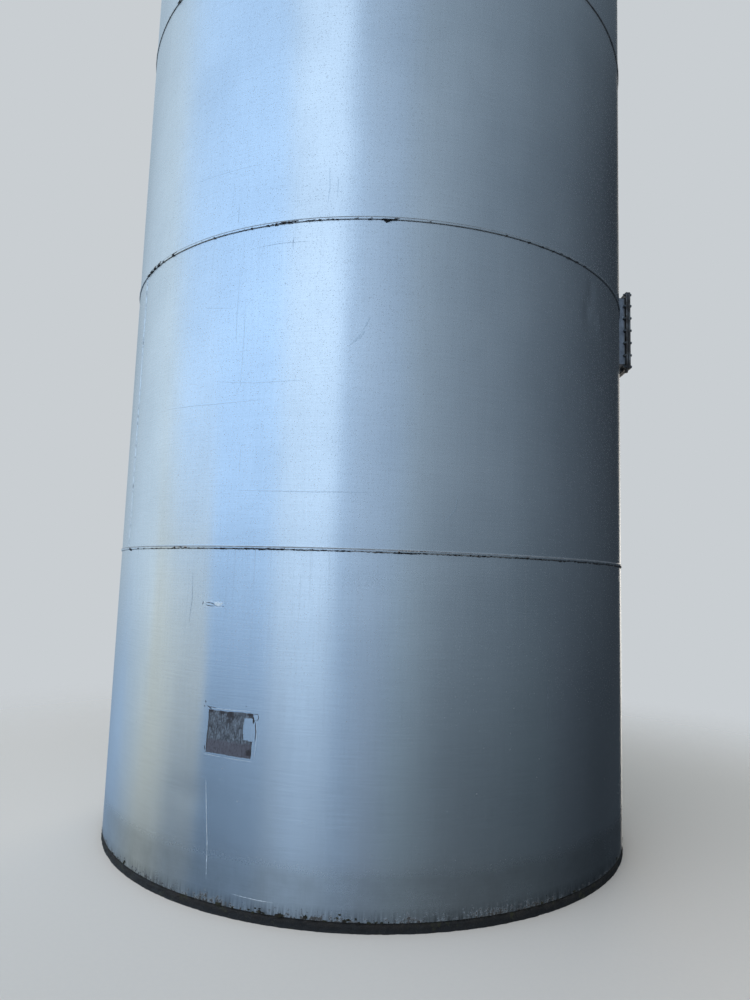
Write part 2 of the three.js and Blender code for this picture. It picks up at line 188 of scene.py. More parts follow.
def rolled_sheet(add, colours, sizes):
    """Mill-finish aluminium plate, weathered outdoors. Its oxide makes it satin. The rolling lines round the
    shell draw reflections out upwards and leave them crisp sideways."""
    uv = add("UVMap", uv_map="unrolled")
    rise = add("SeparateXYZ", uv, out="Y")
    where = add("TexCoord", out="Object")
    height = add("SeparateXYZ", where, out="Z")
    cloud = add("TexNoise", uv, 1.3, 3.0, 0.5)
    # Rain runs 15 to 60 mm wide and a metre long
    runs = add("TexNoise", add("Mapping", uv, Scale=(26.0, 0.8, 1.0)), 1.0, 4.0, 0.6)
    # Drawn hairs, rolling lines and oxide grains of 6 to 10 mm, coarser than real so that they show
    hairs = add("TexNoise", add("Mapping", uv, Scale=(115.0, 4.0, 1.0)), 1.0, 2.0, 0.6)
    lines = add("TexNoise", add("Mapping", uv, Scale=(4.0, 130.0, 1.0)), 1.0, 2.0, 0.6)
    grains = add("TexNoise", uv, 105.0, 2.0, 0.6)
    # Pits 3 mm across, some forty in a square metre
    pits = add("Math", add("MapRange", add("TexVoronoi", uv, 14.0), 0.020, 0.042, 1.0, 0.0),
               add("MapRange", add("TexVoronoi", uv, 14.0, out="Color"), 0.63, 0.67), operation="MULTIPLY")
    colour = add("Mix", add("MapRange", cloud, 0.3, 0.7), colours.sheet_bright, colours.sheet_dull)
    # Grit has roughened the upper courses more than the foot, with specks 3 mm across and 13 mm apart
    grit = add("MapRange", height, 0.8, 3.2, 0.2, 1.0)
    specks = add("MapRange", add("TexVoronoi", uv, 76.0), 0.10, 0.30, 1.0, 0.0)
    specks = add("Math", specks, grit, operation="MULTIPLY")
    colour = mottled(add, colour, ((runs, 0.06), (hairs, 0.09), (lines, 0.15),
                                   (grains, add("Math", grit, 0.22, operation="MULTIPLY"))))

    # Painted shade: the joggle's crease as a fine black line 12 mm up, broken along its length
    joggle_shade = add("ValToRGB", add("MapRange", rise, 0.0, 0.030), ramp=[
        (0.0, 0.0), (0.33, 0.0), (0.38, 1.0), (0.46, 1.0), (0.53, 0.4), (0.64, 0.0)])
    gaps = add("TexNoise", add("Mapping", uv, Scale=(22.0, 60.0, 1.0)), 1.0, 4.0, 0.75)
    joggle_shade = add("Math", joggle_shade, add("MapRange", gaps, 0.34, 0.50, 0.50, 1.0), operation="MULTIPLY")
    # Grit and torn sealant on the lip
    torn = add("TexNoise", add("Mapping", uv, Scale=(42.0, 95.0, 1.0)), 1.0, 4.0, 0.7)
    torn = add("Math", add("MapRange", torn, 0.60, 0.65), add("MapRange", rise, 0.011, 0.014, 1.0, 0.0),
               operation="MULTIPLY")
    # Dark runs that hang 100 to 400 mm under the seam above
    hang = add("TexNoise", add("Mapping", uv, Scale=(40.0, 1.1, 1.0)), 1.0, 3.0, 0.6)
    hang = add("Math", add("MapRange", hang, 0.56, 0.80), add("MapRange", rise, 1.42, 1.83),
               operation="MULTIPLY")
    # Spatter specks 5 mm across, about two in a square metre
    spot = add("TexVoronoi", uv, 5.0)
    chance = add("TexVoronoi", uv, 5.0, out="Color")
    spot = add("Math", add("MapRange", spot, 0.014, 0.024, 1.0, 0.0), add("MapRange", chance, 0.80, 0.82),
               operation="MULTIPLY")
    # Brushed and sooty margins along an upright weld
    margin = add("Attribute", attribute_name="weld_distance", out="Fac")
    soot = add("MapRange", add("TexNoise", uv, 60.0, 3.0, 0.6), 0.40, 0.6, 0.15, 1.0)
    soot = add("Math", add("MapRange", margin, 0.007, 0.012, 1.0, 0.0), soot, operation="MULTIPLY")
    # Dried film up to twice the splash height, and splashed soil in drifts on the lowest 60 mm
    near = add("MapRange", height, 1.6 * sizes.splash_height, 2.3 * sizes.splash_height, 1.0, 0.0,
               interpolation_type="SMOOTHSTEP")
    dried = add("Math", near, add("MapRange", add("TexNoise", where, 7.0, 4.0, 0.6), 0.3, 0.7, 0.6, 1.0),
                operation="MULTIPLY")
    drift = add("MapRange", add("TexNoise", where, 3.2, 2.0, 0.5), 0.42, 0.62, 0.0, 0.10)
    soil = add("Math", add("MapRange", height, 0.05, 0.13, 0.17, -0.10), drift)
    soil = add("Math", soil, add("TexNoise", where, 55.0, 5.0, 0.75))
    soil = add("MapRange", soil, 0.69, 0.75)
    # Damp dirt in upright streaks 15 mm wide on the lowest 70 mm
    damp = add("TexNoise", add("Mapping", uv, Scale=(70.0, 6.0, 1.0)), 1.0, 4.0, 0.7)
    damp = add("Math", add("MapRange", damp, 0.36, 0.62), add("MapRange", height, 0.052, 0.125, 1.0, 0.0),
               operation="MULTIPLY")
    # The film and the damp only darken the metal, and what follows hides it
    for mask, cover, tint in ((dried, 0.44, colours.splash), (damp, 0.66, linear("#1E1C1A"))):
        colour = add("Mix", add("Math", mask, cover, operation="MULTIPLY"), colour, tint)
    # Of these coats, the joggle's dark line is painted shade; the rest are grit, pits, grime, crusts and soil
    colour, hidden = soiled(add, colour, (
        (specks, linear("#5B6773"), 0.19), (pits, linear("#3F454C"), 0.60), (hang, colours.grime, 0.11),
        (soot, colours.grime, 0.55), (spot, colours.grime, 0.75), (joggle_shade, linear("#1C1F23"), 0.82),
        (torn, linear("#1B1917"), 0.92), (soil, colours.soil, 0.90)))

    rough = add("MapRange", cloud, 0.25, 0.75, 0.215, 0.235)
    rough = add("Math", grains, 0.04, rough, operation="MULTIPLY_ADD")
    rough = add("Math", dried, 0.05, rough, operation="MULTIPLY_ADD")
    relief = add("Math", grains, grit, operation="MULTIPLY")
    for marks, share in ((hairs, 0.25), (lines, 0.35), (pits, -0.3)):
        relief = add("Math", marks, share, relief, operation="MULTIPLY_ADD")
    relief = add("Math", soil, 2.2, relief, operation="MULTIPLY_ADD")
    return add("BsdfPrincipled", Base_Color=colour, Metallic=add("MapRange", hidden, 0.0, 0.8, 1.0, 0.0),
               Roughness=add("Mix", hidden, rough, 0.75, data_type="FLOAT"), Anisotropic=0.97,
               Anisotropic_Rotation=0.25, Tangent=add("Tangent", direction_type="RADIAL", axis="Z"),
               Normal=add("Bump", Height=relief, Distance=0.00030))


def welded_plate(add, colours, sizes):
    """Cut and welded aluminium plate: greyer and rougher than the sheets, brushed, with dirt in blots."""
    where = add("TexCoord", out="Object")
    cloud = add("TexNoise", where, 7.0, 4.0, 0.6)
    grains = add("TexNoise", where, 130.0, 2.0, 0.6)
    streak = add("TexNoise", add("Mapping", where, Scale=(60.0, 60.0, 2.0)), 1.0, 3.0, 0.6)
    blot = add("MapRange", add("TexNoise", where, 26.0, 5.0, 0.65), 0.58, 0.72)
    colour = add("Mix", add("MapRange", cloud, 0.3, 0.7), colours.fabrication, colours.fabrication_dull)
    colour = mottled(add, colour, ((streak, 0.22), (grains, 0.2)))
    colour, hidden = soiled(add, colour, ((blot, linear("#6E6A63"), 0.45),))
    relief = add("Math", streak, 0.5, grains, operation="MULTIPLY_ADD")
    return add("BsdfPrincipled", Base_Color=colour, Metallic=add("MapRange", hidden, 0.0, 1.0, 1.0, 0.0),
               Roughness=add("MapRange", add("Math", cloud, hidden), 0.25, 1.2, 0.38, 0.62),
               Normal=add("Bump", Height=relief, Distance=0.0005))


def plain_plate(add, colours, sizes):
    """Aluminium plate of the roof, the cone and the door: satin, with rain spots and faint clouds."""
    where = add("TexCoord", out="Object")
    cloud = add("TexNoise", where, 3.0, 4.0, 0.55)
    grains = add("TexNoise", where, 120.0, 2.0, 0.6)
    streak = add("TexNoise", add("Mapping", where, Scale=(45.0, 45.0, 1.2)), 1.0, 3.0, 0.6)
    spot = add("MapRange", add("TexNoise", where, 38.0, 3.0, 0.6), 0.6, 0.7)
    height = add("SeparateXYZ", where, out="Z")
    near = add("MapRange", height, 0.12, 0.12 + 3 * sizes.splash_height, 0.22, -0.12)
    soil = add("Math", near, add("TexNoise", where, 42.0, 5.0, 0.75))
    soil = add("MapRange", soil, 0.60, 0.74)
    runs = add("TexNoise", add("Mapping", where, Scale=(26.0, 26.0, 0.9)), 1.0, 4.0, 0.6)
    runs = add("MapRange", runs, 0.54, 0.78)
    colour = add("Mix", add("MapRange", cloud, 0.3, 0.7), colours.sheet_bright, colours.sheet_dull)
    colour = mottled(add, colour, ((streak, 0.14), (grains, 0.12), (cloud, 0.15)))
    colour, hidden = soiled(add, colour, ((runs, colours.grime, 0.22), (spot, linear("#8B8E8E"), 0.35),
                                          (soil, colours.splash, 0.5)))
    relief = add("Math", streak, 0.4, grains, operation="MULTIPLY_ADD")
    return add("BsdfPrincipled", Base_Color=colour, Metallic=add("MapRange", hidden, 0.0, 1.0, 1.0, 0.1),
               Roughness=add("MapRange", add("Math", cloud, hidden), 0.25, 1.0, 0.33, 0.55),
               Normal=add("Bump", Height=relief, Distance=0.0005))


def weld_metal(add, colours, sizes):
    """Aluminium weld metal as laid: bright ripples with sooty grey between them."""
    where = add("TexCoord", out="Object")
    soot = add("MapRange", add("TexNoise", where, 45.0, 4.0, 0.65), 0.50, 0.66)
    return add("BsdfPrincipled", Metallic=1.0, Roughness=add("MapRange", soot, 0.0, 1.0, 0.36, 0.6),
               Base_Color=add("Mix", soot, colours.weld, linear("#6A6E72")),
               Normal=add("Bump", Height=add("TexNoise", where, 420.0, 2.0), Distance=0.0004))


def lap_sealant(add, colours, sizes):
    """Old butyl sealant squeezed out of the laps: black and broken, greyed in places and rust-brown where
    water stands."""
    where = add("TexCoord", out="Object")
    blotches = add("TexNoise", where, 5.5, 4.0, 0.65)
    patch = add("TexNoise", where, 48.0, 4.0, 0.7)
    colour = add("ValToRGB", patch, ramp=[(0.38, linear("#101113")), (0.53, linear("#1E1F22")),
                                          (0.60, linear("#4F5357")), (0.68, linear("#8E959B"))])
    colour = add("Mix", add("MapRange", blotches, 0.58, 0.70), colour, linear("#3B2A20"))
    return add("BsdfPrincipled", Base_Color=colour, Roughness=add("MapRange", patch, 0.3, 0.7, 0.65, 0.9),
               Normal=add("Bump", Height=add("TexNoise", where, 300.0, 3.0, 0.7), Distance=0.001))


def torn_crust(add, colours, sizes):
    """Crusts of torn sealant and grit: black, with flakes bleached tan on what lies on top of a lip, which is
    told by how high a point is over the seam below it."""
    where = add("TexCoord", out="Object")
    rise = add("Math", add("SeparateXYZ", where, out="Z"), GROUT_TOP + COURSE_HEIGHT - 0.1, GROUT_TOP - 0.1,
               operation="WRAP")
    flake = add("Math", add("MapRange", add("TexNoise", where, 75.0, 3.0, 0.6), 0.46, 0.52),
                add("MapRange", rise, GROUT_TOP + 0.005, GROUT_TOP + 0.012), operation="MULTIPLY")
    return add("BsdfPrincipled", Roughness=0.9,
               Base_Color=add("Mix", flake, colours.sealant, linear("#B5A392")),
               Normal=add("Bump", Height=add("TexNoise", where, 260.0, 4.0, 0.7), Distance=0.001))


def cement_grout(add, colours, sizes):
    """Cement grout, washed out by rain: coarse, damp and dark low down, with moss in its pits."""
    where = add("TexCoord", out="Object")
    height = add("SeparateXYZ", where, out="Z")
    damp = add("Math", add("MapRange", height, 0.0, 0.05, 0.35, -0.1), add("TexNoise", where, 6.0, 5.0, 0.6))
    # Grains of sand 2 to 6 mm across
    sand = add("TexNoise", where, 260.0, 3.0, 0.7)
    pits = add("TexNoise", where, 70.0, 4.0, 0.7)
    moss = add("MapRange", add("TexNoise", where, 16.0, 5.0, 0.7), 0.56, 0.66)
    colour = add("Mix", add("MapRange", damp, 0.3, 0.7), colours.grout, linear("#131110"))
    colour, _ = soiled(add, colour, (
        (add("MapRange", sand, 0.58, 0.75), linear("#6A645A"), 0.6), (moss, colours.moss, 0.6)))
    rough = add("MapRange", damp, 0.3, 0.8, 0.95, 0.7)
    relief = add("Math", pits, 2.0, sand, operation="MULTIPLY_ADD")
    return add("BsdfPrincipled", Base_Color=colour, Roughness=rough,
               Normal=add("Bump", Height=relief, Distance=0.003))


def soil_and_moss(add, colours, sizes):
    """Soil splashed up by rain and grown over with moss: matt, crumbly, brown to olive."""
    where = add("TexCoord", out="Object")
    crumbs = add("TexNoise", where, 320.0, 4.0, 0.7)
    mossy = add("MapRange", add("TexNoise", where, 30.0, 4.0, 0.6), 0.42, 0.6)
    colour = add("Mix", mossy, colours.soil, colours.moss)
    colour = add("Mix", add("MapRange", crumbs, 0.3, 0.7), colour, linear("#1D1A14"))
    return add("BsdfPrincipled", Base_Color=colour, Roughness=0.95,
               Normal=add("Bump", Height=crumbs, Distance=0.003))


def placard_glue(add, colours, sizes):
    """Contact glue left where a placard was pulled off: solid brown-grey low down, smeared thin above, with
    black gobs at its top edge."""
    uv = add("UVMap", uv_map="unrolled")
    across = add("SeparateXYZ", uv, out="X")
    rise = add("SeparateXYZ", uv, out="Y")
    smeared = add("TexNoise", add("Mapping", uv, Scale=(24.0, 6.0, 1.0)), 1.0, 6.0, 0.78, Distortion=0.5)
    threads = add("TexNoise", add("Mapping", uv, Scale=(55.0, 22.0, 1.0)), 1.0, 3.0, 0.6)
    threads = add("Math", threads, 0.5, operation="SUBTRACT")
    smeared = add("Math", threads, 0.45, smeared, operation="MULTIPLY_ADD")
    blot = add("TexNoise", uv, 9.0, 5.0, 0.7)
    colour = add("ValToRGB", smeared, ramp=[(0.30, linear("#1A1C1F")), (0.43, linear("#3D4147")),
                                            (0.56, linear("#596068")), (0.72, linear("#84909C"))])
    solid = add("MapRange", add("Math", blot, 0.16, rise, operation="MULTIPLY_ADD"), 0.36, 0.42, 1.0, 0.0)
    # Short black strokes 6 mm wide
    strokes = add("TexNoise", add("Mapping", uv, Scale=(44.0, 13.0, 1.0)), 1.0, 3.0, 0.7)
    strokes = add("MapRange", strokes, 0.56, 0.61)
    coats = [(solid, colours.residue, 0.80), (strokes, linear("#1D1819"), 0.70)]
    # Gobs: place in the film, size and how much they cover
    for place, size, cover in (((0.05, 0.98, 0.0), 0.04, 0.95), ((0.33, 0.97, 0.0), 0.02, 0.9),
                               ((0.52, 0.93, 0.0), 0.06, 0.9), ((0.49, 0.79, 0.0), 0.03, 0.75),
                               ((0.94, 0.97, 0.0), 0.03, 0.95), ((0.97, 0.12, 0.0), 0.05, 0.9),
                               ((0.37, 0.62, 0.0), 0.0, 0.6), ((0.06, 0.62, 0.0), 0.01, 0.6)):
        away = add("VectorMath", uv, place, operation="DISTANCE", out="Value")
        away = add("Math", add("Math", blot, smeared), 0.16, away, operation="MULTIPLY_ADD")
        coats.append((add("MapRange", away, size + 0.17, size + 0.21, 1.0, 0.0), linear("#241D1E"), cover))
    # Dark ragged edges
    for side, reach, ragged in ((across, 0.488, 0.03), (rise, 0.503, 0.09)):
        edge = add("Math", add("Math", side, 0.5, operation="SUBTRACT"), operation="ABSOLUTE")
        edge = add("Math", blot, ragged, add("Math", edge, ragged / 2 - 0.015, operation="SUBTRACT"),
                   operation="MULTIPLY_ADD")
        coats.append((add("MapRange", edge, reach, reach + 0.02), linear("#2B2829"), 0.9))
    colour, _ = soiled(add, colour, coats)
    return add("BsdfPrincipled", Base_Color=colour, Roughness=add("MapRange", blot, 0.3, 0.7, 0.45, 0.75),
               Normal=add("Bump", Height=smeared, Distance=0.0012))


def dried_glue(add, colours, sizes):
    """Threads of contact glue, dried brown-black."""
    where = add("TexCoord", out="Object")
    skinned = add("TexNoise", where, 90.0, 3.0, 0.6)
    return add("BsdfPrincipled", Roughness=0.6, Normal=add("Bump", Height=skinned, Distance=0.0006),
               Base_Color=add("Mix", add("MapRange", skinned, 0.4, 0.7), linear("#1B191A"),
                              linear("#4A4648")))


def chalky_film(add, colours, sizes):
    """Chalked vinyl and lime: a scrap of label film and a dried run, worn through to the metal in places."""
    where = add("TexCoord", out="Object")
    worn = add("MapRange", add("TexNoise", where, 110.0, 4.0, 0.65), 0.40, 0.58)
    return add("BsdfPrincipled", Metallic=add("MapRange", worn, 0.0, 1.0, 0.0, 0.85),
               Roughness=add("MapRange", worn, 0.0, 1.0, 0.6, 0.4),
               Base_Color=add("Mix", worn, colours.film, colours.sheet_dull),
               Normal=add("Bump", Height=worn, Distance=0.0003))


def scored_oxide(add, colours, sizes):
    """Scratches: oxide scored through and darkened with dirt, half matt."""
    where = add("TexCoord", out="Object")
    worn = add("MapRange", add("TexNoise", where, 70.0, 3.0, 0.6), 0.35, 0.65)
    return add("BsdfPrincipled", Metallic=0.8, Roughness=add("MapRange", worn, 0.0, 1.0, 0.4, 0.6),
               Base_Color=add("Mix", worn, linear("#7E8790"), linear("#A9B2B9")))


def rubbed_oxide(add, colours, sizes):
    """Scuffs: oxide rubbed dull, a shade under the sheet's tone."""
    where = add("TexCoord", out="Object")
    worn = add("MapRange", add("TexNoise", where, 130.0, 3.0, 0.6), 0.4, 0.6)
    return add("BsdfPrincipled", Metallic=1.0, Roughness=add("MapRange", worn, 0.0, 1.0, 0.36, 0.46),
               Base_Color=add("Mix", worn, linear("#AEB6BC"), colours.sheet_dull))


def shaded_hatch_plate(add, colours, sizes):
    """The hatch's neck and clamping frame: grey aluminium plate set darker as painted shade, and brown-black
    towards the joint as painted shade and a painted reflection of brown ground."""
    where = add("TexCoord", out="Object")
    blotches = add("TexNoise", where, 18.0, 5.0, 0.65)
    grains = add("TexNoise", where, 140.0, 3.0, 0.6)
    # Painted shade: the neck's darker grey, and brown-black towards the joint and over the clamping frame
    joint = add("MapRange", add("SeparateXYZ", where, out="X"), high("hatch_neck")[0] - 0.026,
                high("hatch_neck")[0] - 0.014)
    clean = add("Mix", add("MapRange", blotches, 0.35, 0.65), linear("#86878A"), linear("#66666A"))
    joint_shade = add("ValToRGB", blotches, ramp=[(0.32, linear("#2D2826")), (0.50, linear("#4A4542")),
                                        (0.66, linear("#6B6C6D"))])
    return add("BsdfPrincipled", Base_Color=add("Mix", joint, clean, joint_shade),
               Metallic=add("MapRange", joint, 0.0, 1.0, 1.0, 0.5),
               Roughness=add("MapRange", grains, 0.3, 0.7, 0.42, 0.56),
               Normal=add("Bump", Height=grains, Distance=0.0006))


def galvanised_steel(add, colours, sizes):
    """Hot-dip galvanised fasteners: dull zinc grey in spangles, set darker still as painted shade, with rust
    where the zinc is gone.
    """
    where = add("TexCoord", out="Object")
    spangle = add("SeparateXYZ", add("TexVoronoi", where, 190.0, out="Color"))
    rust = add("MapRange", add("TexNoise", where, 60.0, 4.0, 0.65), 0.6, 0.7)
    colour = add("Mix", spangle, colours.zinc, linear("#4C4F52"))
    return add("BsdfPrincipled", Base_Color=add("Mix", rust, colour, colours.rust),
               Metallic=add("MapRange", rust, 0.0, 1.0, 0.95, 0.1),
               Roughness=add("MapRange", rust, 0.0, 1.0, 0.42, 0.85),
               Normal=add("Bump", Height=add("Math", spangle, rust), Distance=0.0003))


def gasket_rubber(add, colours, sizes):
    """Cut EPDM rubber sheet: matt black, greyed by sun and grazed along its edge."""
    where = add("TexCoord", out="Object")
    bloom = add("TexNoise", where, 24.0, 4.0, 0.6)
    return add("BsdfPrincipled", Roughness=add("MapRange", bloom, 0.3, 0.7, 0.6, 0.85),
               Base_Color=add("Mix", add("MapRange", bloom, 0.4, 0.75), colours.rubber, linear("#3E4143")),
               Normal=add("Bump", Height=add("TexNoise", where, 500.0), Distance=0.0004))


def studio_floor(add, colours, sizes):
    """Matt pale floor that fades out into a backdrop of the same tone."""
    where = add("TexCoord", out="Object")
    far = add("VectorMath", where, operation="LENGTH", out="Value")
    speck = add("MapRange", add("TexNoise", where, 40.0, 4.0), 0.3, 0.7, 0.0, 0.05)
    colour = add("Mix", speck, colours.floor, linear("#A9ABAC"))
    return add("BsdfPrincipled", Base_Color=colour, Roughness=0.9,
               Alpha=add("MapRange", far, *FLOOR_FADE, 1.0, 0.0, interpolation_type="SMOOTHSTEP"))


FINISHES = {
    "weathered_mill_finish_aluminium": rolled_sheet, "brushed_welded_aluminium": welded_plate,
    "plain_aluminium_plate": plain_plate, "hatch_plate_painted_shade": shaded_hatch_plate,
    "scored_aluminium": scored_oxide, "rubbed_aluminium": rubbed_oxide, "aluminium_weld_metal": weld_metal,
    "aged_butyl_sealant": lap_sealant, "torn_sealant_crust": torn_crust, "washed_cement_grout": cement_grout,
    "splashed_soil_and_moss": soil_and_moss, "placard_glue_residue": placard_glue,
    "dried_contact_glue": dried_glue, "chalked_vinyl_and_lime": chalky_film,
    "dulled_and_shaded_galvanised_steel": galvanised_steel, "greyed_epdm_rubber": gasket_rubber,
    "pale_studio_floor": studio_floor,
}


def finish(name):
    """A finish by its name, made the first time that it is asked for."""
    made = bpy.data.materials.get(name)
    if made is None:
        made = bpy.data.materials.new(name)
        made.use_nodes = True
        made.node_tree.nodes.clear()
        add = partial(node, made.node_tree)
        scene = bpy.context.scene
        add("OutputMaterial", FINISHES[name](add, scene.silo_colours, scene.silo_sizes))
    return made


# Meshes


def placed(name, parts, coat, body=SILO, stands_for=(), uv=None, margin=None, sharp=32.0):
    """One finished piece from parts, each its points and its face arrays. Each part is turned outwards: where
    the sum of its faces' tetrahedra to the origin is negative, its faces are reversed. Shading is smooth
    under an angle."""
    points, faces, base = [], {}, 0
    for co, sets in parts:
        volume = 0.0
        for rows in sets:
            for k in range(1, rows.shape[1] - 1):
                a, b, c = co[rows[:, 0]], co[rows[:, k]], co[rows[:, k + 1]]
                volume += np.einsum("ij,ij->i", a, np.cross(b, c)).sum()
        for rows in sets:
            rows = rows[:, ::-1] if volume < 0 else rows
            faces.setdefault(rows.shape[1], []).append(rows + base)
        points.append(co)
        base += len(co)
    points = np.concatenate(points)
    sets = [np.concatenate(rows) for _, rows in sorted(faces.items())]
    sizes = np.concatenate([np.full(len(rows), rows.shape[1]) for rows in sets])
    corners = np.concatenate([rows.ravel() for rows in sets])

    mesh = bpy.data.meshes.new(name)
    mesh.vertices.add(len(points))
    mesh.vertices.foreach_set("co", points.astype(np.float32).ravel())
    mesh.loops.add(len(corners))
    mesh.loops.foreach_set("vertex_index", corners.astype(np.int32))
    mesh.polygons.add(len(sizes))
    mesh.polygons.foreach_set("loop_start", (np.cumsum(sizes) - sizes).astype(np.int32))
    mesh.polygons.foreach_set("use_smooth", np.ones(len(sizes), bool))
    mesh.update(calc_edges=True)
    if mesh.validate():
        raise RuntimeError(f"{name}: its mesh has faults")
    if uv is not None:
        layer = mesh.uv_layers.new(name="unrolled")
        layer.uv.foreach_set("vector", uv[corners].astype(np.float32).ravel())
    if margin is not None:
        layer = mesh.attributes.new("weld_distance", "FLOAT", "POINT")
        layer.data.foreach_set("value", margin.astype(np.float32))
    mesh.set_sharp_from_angle(angle=math.radians(sharp))
    piece = bpy.data.objects.new(name, mesh)
    bpy.context.scene.collection.objects.link(piece)
    mesh.materials.append(finish(coat))
    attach(piece, body)
    if stands_for:
        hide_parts(*stands_for)
    return piece


def skin(points, wrap_rows=False, wrap_columns=True):
    """A surface over a grid of points, rows by columns by 3, joined end to end where it wraps. Rows that
    don't wrap are closed by a flat face at each end."""
    rows, columns = points.shape[:2]
    index = np.arange(rows * columns).reshape(rows, columns)
    i = np.arange(rows if wrap_rows else rows - 1)
    j = np.arange(columns if wrap_columns else columns - 1)
    a = index[np.ix_(i, j)]
    b = index[np.ix_((i + 1) % rows, j)]
    c = index[np.ix_((i + 1) % rows, (j + 1) % columns)]
    d = index[np.ix_(i, (j + 1) % columns)]
    sets = [np.stack([a, b, c, d], -1).reshape(-1, 4)]
    if not wrap_rows and wrap_columns:
        sets.append(index[:1])
        sets.append(index[-1:, ::-1])
    return points.reshape(-1, 3), sets


def round_about(radius, azimuth, height):
    """Points at a radius and a height, azimuth in degrees from -Y towards +X: (r sin a, -r cos a, z)."""
    a = np.radians(azimuth)
    return np.stack(np.broadcast_arrays(radius * np.sin(a), -radius * np.cos(a), height), -1)


def turned(profile, steps):
    """A ring or disc: a closed profile of (radius, height) points turned about Z. A profile that touches the
    axis is left open there and closed by one point."""
    profile = np.array(profile, float)
    azimuth = np.arange(steps) * 360.0 / steps
    on_axis = profile[:, 0] < 1e-9
    body = profile[~on_axis]
    points, sets = skin(round_about(body[:, 0], azimuth[:, None], body[:, 1]), True, not on_axis.any())
    if not on_axis.any():
        return points, sets
    ends = profile[on_axis][[0, -1]] if on_axis.sum() > 1 else profile[on_axis][[0, 0]]
    first, last = len(points), len(points) + 1
    points = np.vstack([points, [[0, 0, ends[0, 1]], [0, 0, ends[1, 1]]]])
    i = np.arange(steps)
    n = len(body)
    near, after = i * n, ((i + 1) % steps) * n
    sets.append(np.stack([np.full(steps, first), after, near], -1))
    sets.append(np.stack([np.full(steps, last), near + n - 1, after + n - 1], -1))
    return points, sets


def rounded(profile, radius):
    """A closed profile with each corner cut by an arc (1 - t)^2 a + 2 t (1 - t) corner + t^2 b, with a and b
    at the radius from the corner on its two sides, or at most 0.45 of a side."""
    profile = np.array(profile, float)
    before, after = np.roll(profile, 1, 0), np.roll(profile, -1, 0)
    made = []
    for p, q, s in zip(profile, before, after):
        if p[0] < 1e-9:
            made.append(p[None])
            continue
        a, b = (p + side * min(radius / np.linalg.norm(side), 0.45) for side in (q - p, s - p))
        t = np.linspace(0, 1, 4)[:, None]
        made.append((1 - t) ** 2 * a + 2 * t * (1 - t) * p + t ** 2 * b)
    return np.concatenate(made)


def waves(azimuth, height, rounds, lengths, count, seed):
    """Smooth noise of mean 0 and about unit size that closes round the silo: a sum of cos(k a + 2 pi z / l +
    p), with k a whole number of waves round it, l a length up it and p a random phase."""
    rng = np.random.default_rng(seed)
    a = np.radians(azimuth)
    total = np.zeros(np.broadcast(a, height).shape)
    for _ in range(count):
        k = rng.integers(rounds[0], rounds[1] + 1)
        length = rng.uniform(*lengths) * rng.choice((-1, 1))
        total = total + np.cos(k * a + 2 * math.pi * height / length + rng.uniform(0, 2 * math.pi))
    return total * math.sqrt(2 / count)


def arc_from(azimuth, centre):
    """Distance in metres round the shell from a centre azimuth."""
    return RADIUS * np.radians((azimuth - centre + 180.0) % 360.0 - 180.0)


# Dents: azimuth, height, half-width, half-height and depth, inwards positive, in degrees and metres
DENTS = (
    (46.6, 3.57, 0.022, 0.060, 0.0060), (44.9, 3.44, 0.022, 0.062, 0.0060),
    (50.0, 3.40, 0.032, 0.062, -0.0058), (-3.2, 3.08, 0.035, 0.080, 0.0009),
    (-31.0, 0.56, 0.120, 0.050, 0.0016), (18.0, 2.98, 0.030, 0.030, 0.0010),
    (61.0, 1.10, 0.060, 0.200, 0.0016), (-48.0, 4.70, 0.160, 0.120, 0.0018),
    (30.0, 0.98, 0.090, 0.160, 0.0014), (150.0, 2.90, 0.080, 0.120, 0.0030),
    (-140.0, 1.20, 0.120, 0.080, 0.0034), (205.0, 4.60, 0.140, 0.100, 0.0024),
)


def plate_wave(azimuth, height):
    """How far the shell stands off its true circle: long waves of rolled plate, pulled in along each round
    seam and upright weld by -depth exp(-(d / width)^2), a long crease and a shallow band near the foot of the
    same form, and dents of the form -depth exp(-(du^2 / w^2 + dz^2 / h^2) / 2)."""
    off = waves(azimuth, height, (6, 30), (3.0, 9.0), 16, 11) * sizes_of().plate_wave * 0.5
    off = off + waves(azimuth, height, (20, 70), (0.6, 2.4), 12, 12) * sizes_of().plate_wave * 0.08
    for index in range(1, COURSES):
        z = course_bottom(index)
        off = off - 0.0009 * np.exp(-((height - z) / 0.07) ** 2)
    for index, seam in enumerate(SEAMS):
        inside = 1 / (1 + np.exp(-(height - course_bottom(index) - 0.09) / 0.02))
        inside = inside / (1 + np.exp((height - course_bottom(index + 1) + 0.09) / 0.02))
        for azimuth_of_weld in (seam, seam + 180):
            off = off - 0.0011 * inside * np.exp(-(arc_from(azimuth, azimuth_of_weld) / 0.055) ** 2)
    crease = 2.59 - 0.0008 * azimuth
    reach = np.exp(-((azimuth + 26) / 32) ** 4)
    off = off - 0.0011 * reach * np.exp(-((height - crease) / 0.011) ** 2)
    low_band = np.exp(-((height - 0.29) / 0.055) ** 2) * np.exp(-((azimuth + 8) / 50) ** 4)
    off = off - 0.0008 * low_band
    for centre, z, half_width, half_height, depth in DENTS:
        off = off - depth * np.exp(-((arc_from(azimuth, centre) / half_width) ** 2
                                     + ((height - z) / half_height) ** 2) / 2)
    ease = np.clip((height - GROUT_TOP) / 0.15, 0, 1) * np.clip((EAVE - height) / 0.15, 0, 1)
    return off * ease


def on_shell(azimuth, height, off=0.0):
    """Points that stand off the waved shell by a distance."""
    return round_about(RADIUS + off + plate_wave(azimuth, height), azimuth, height)


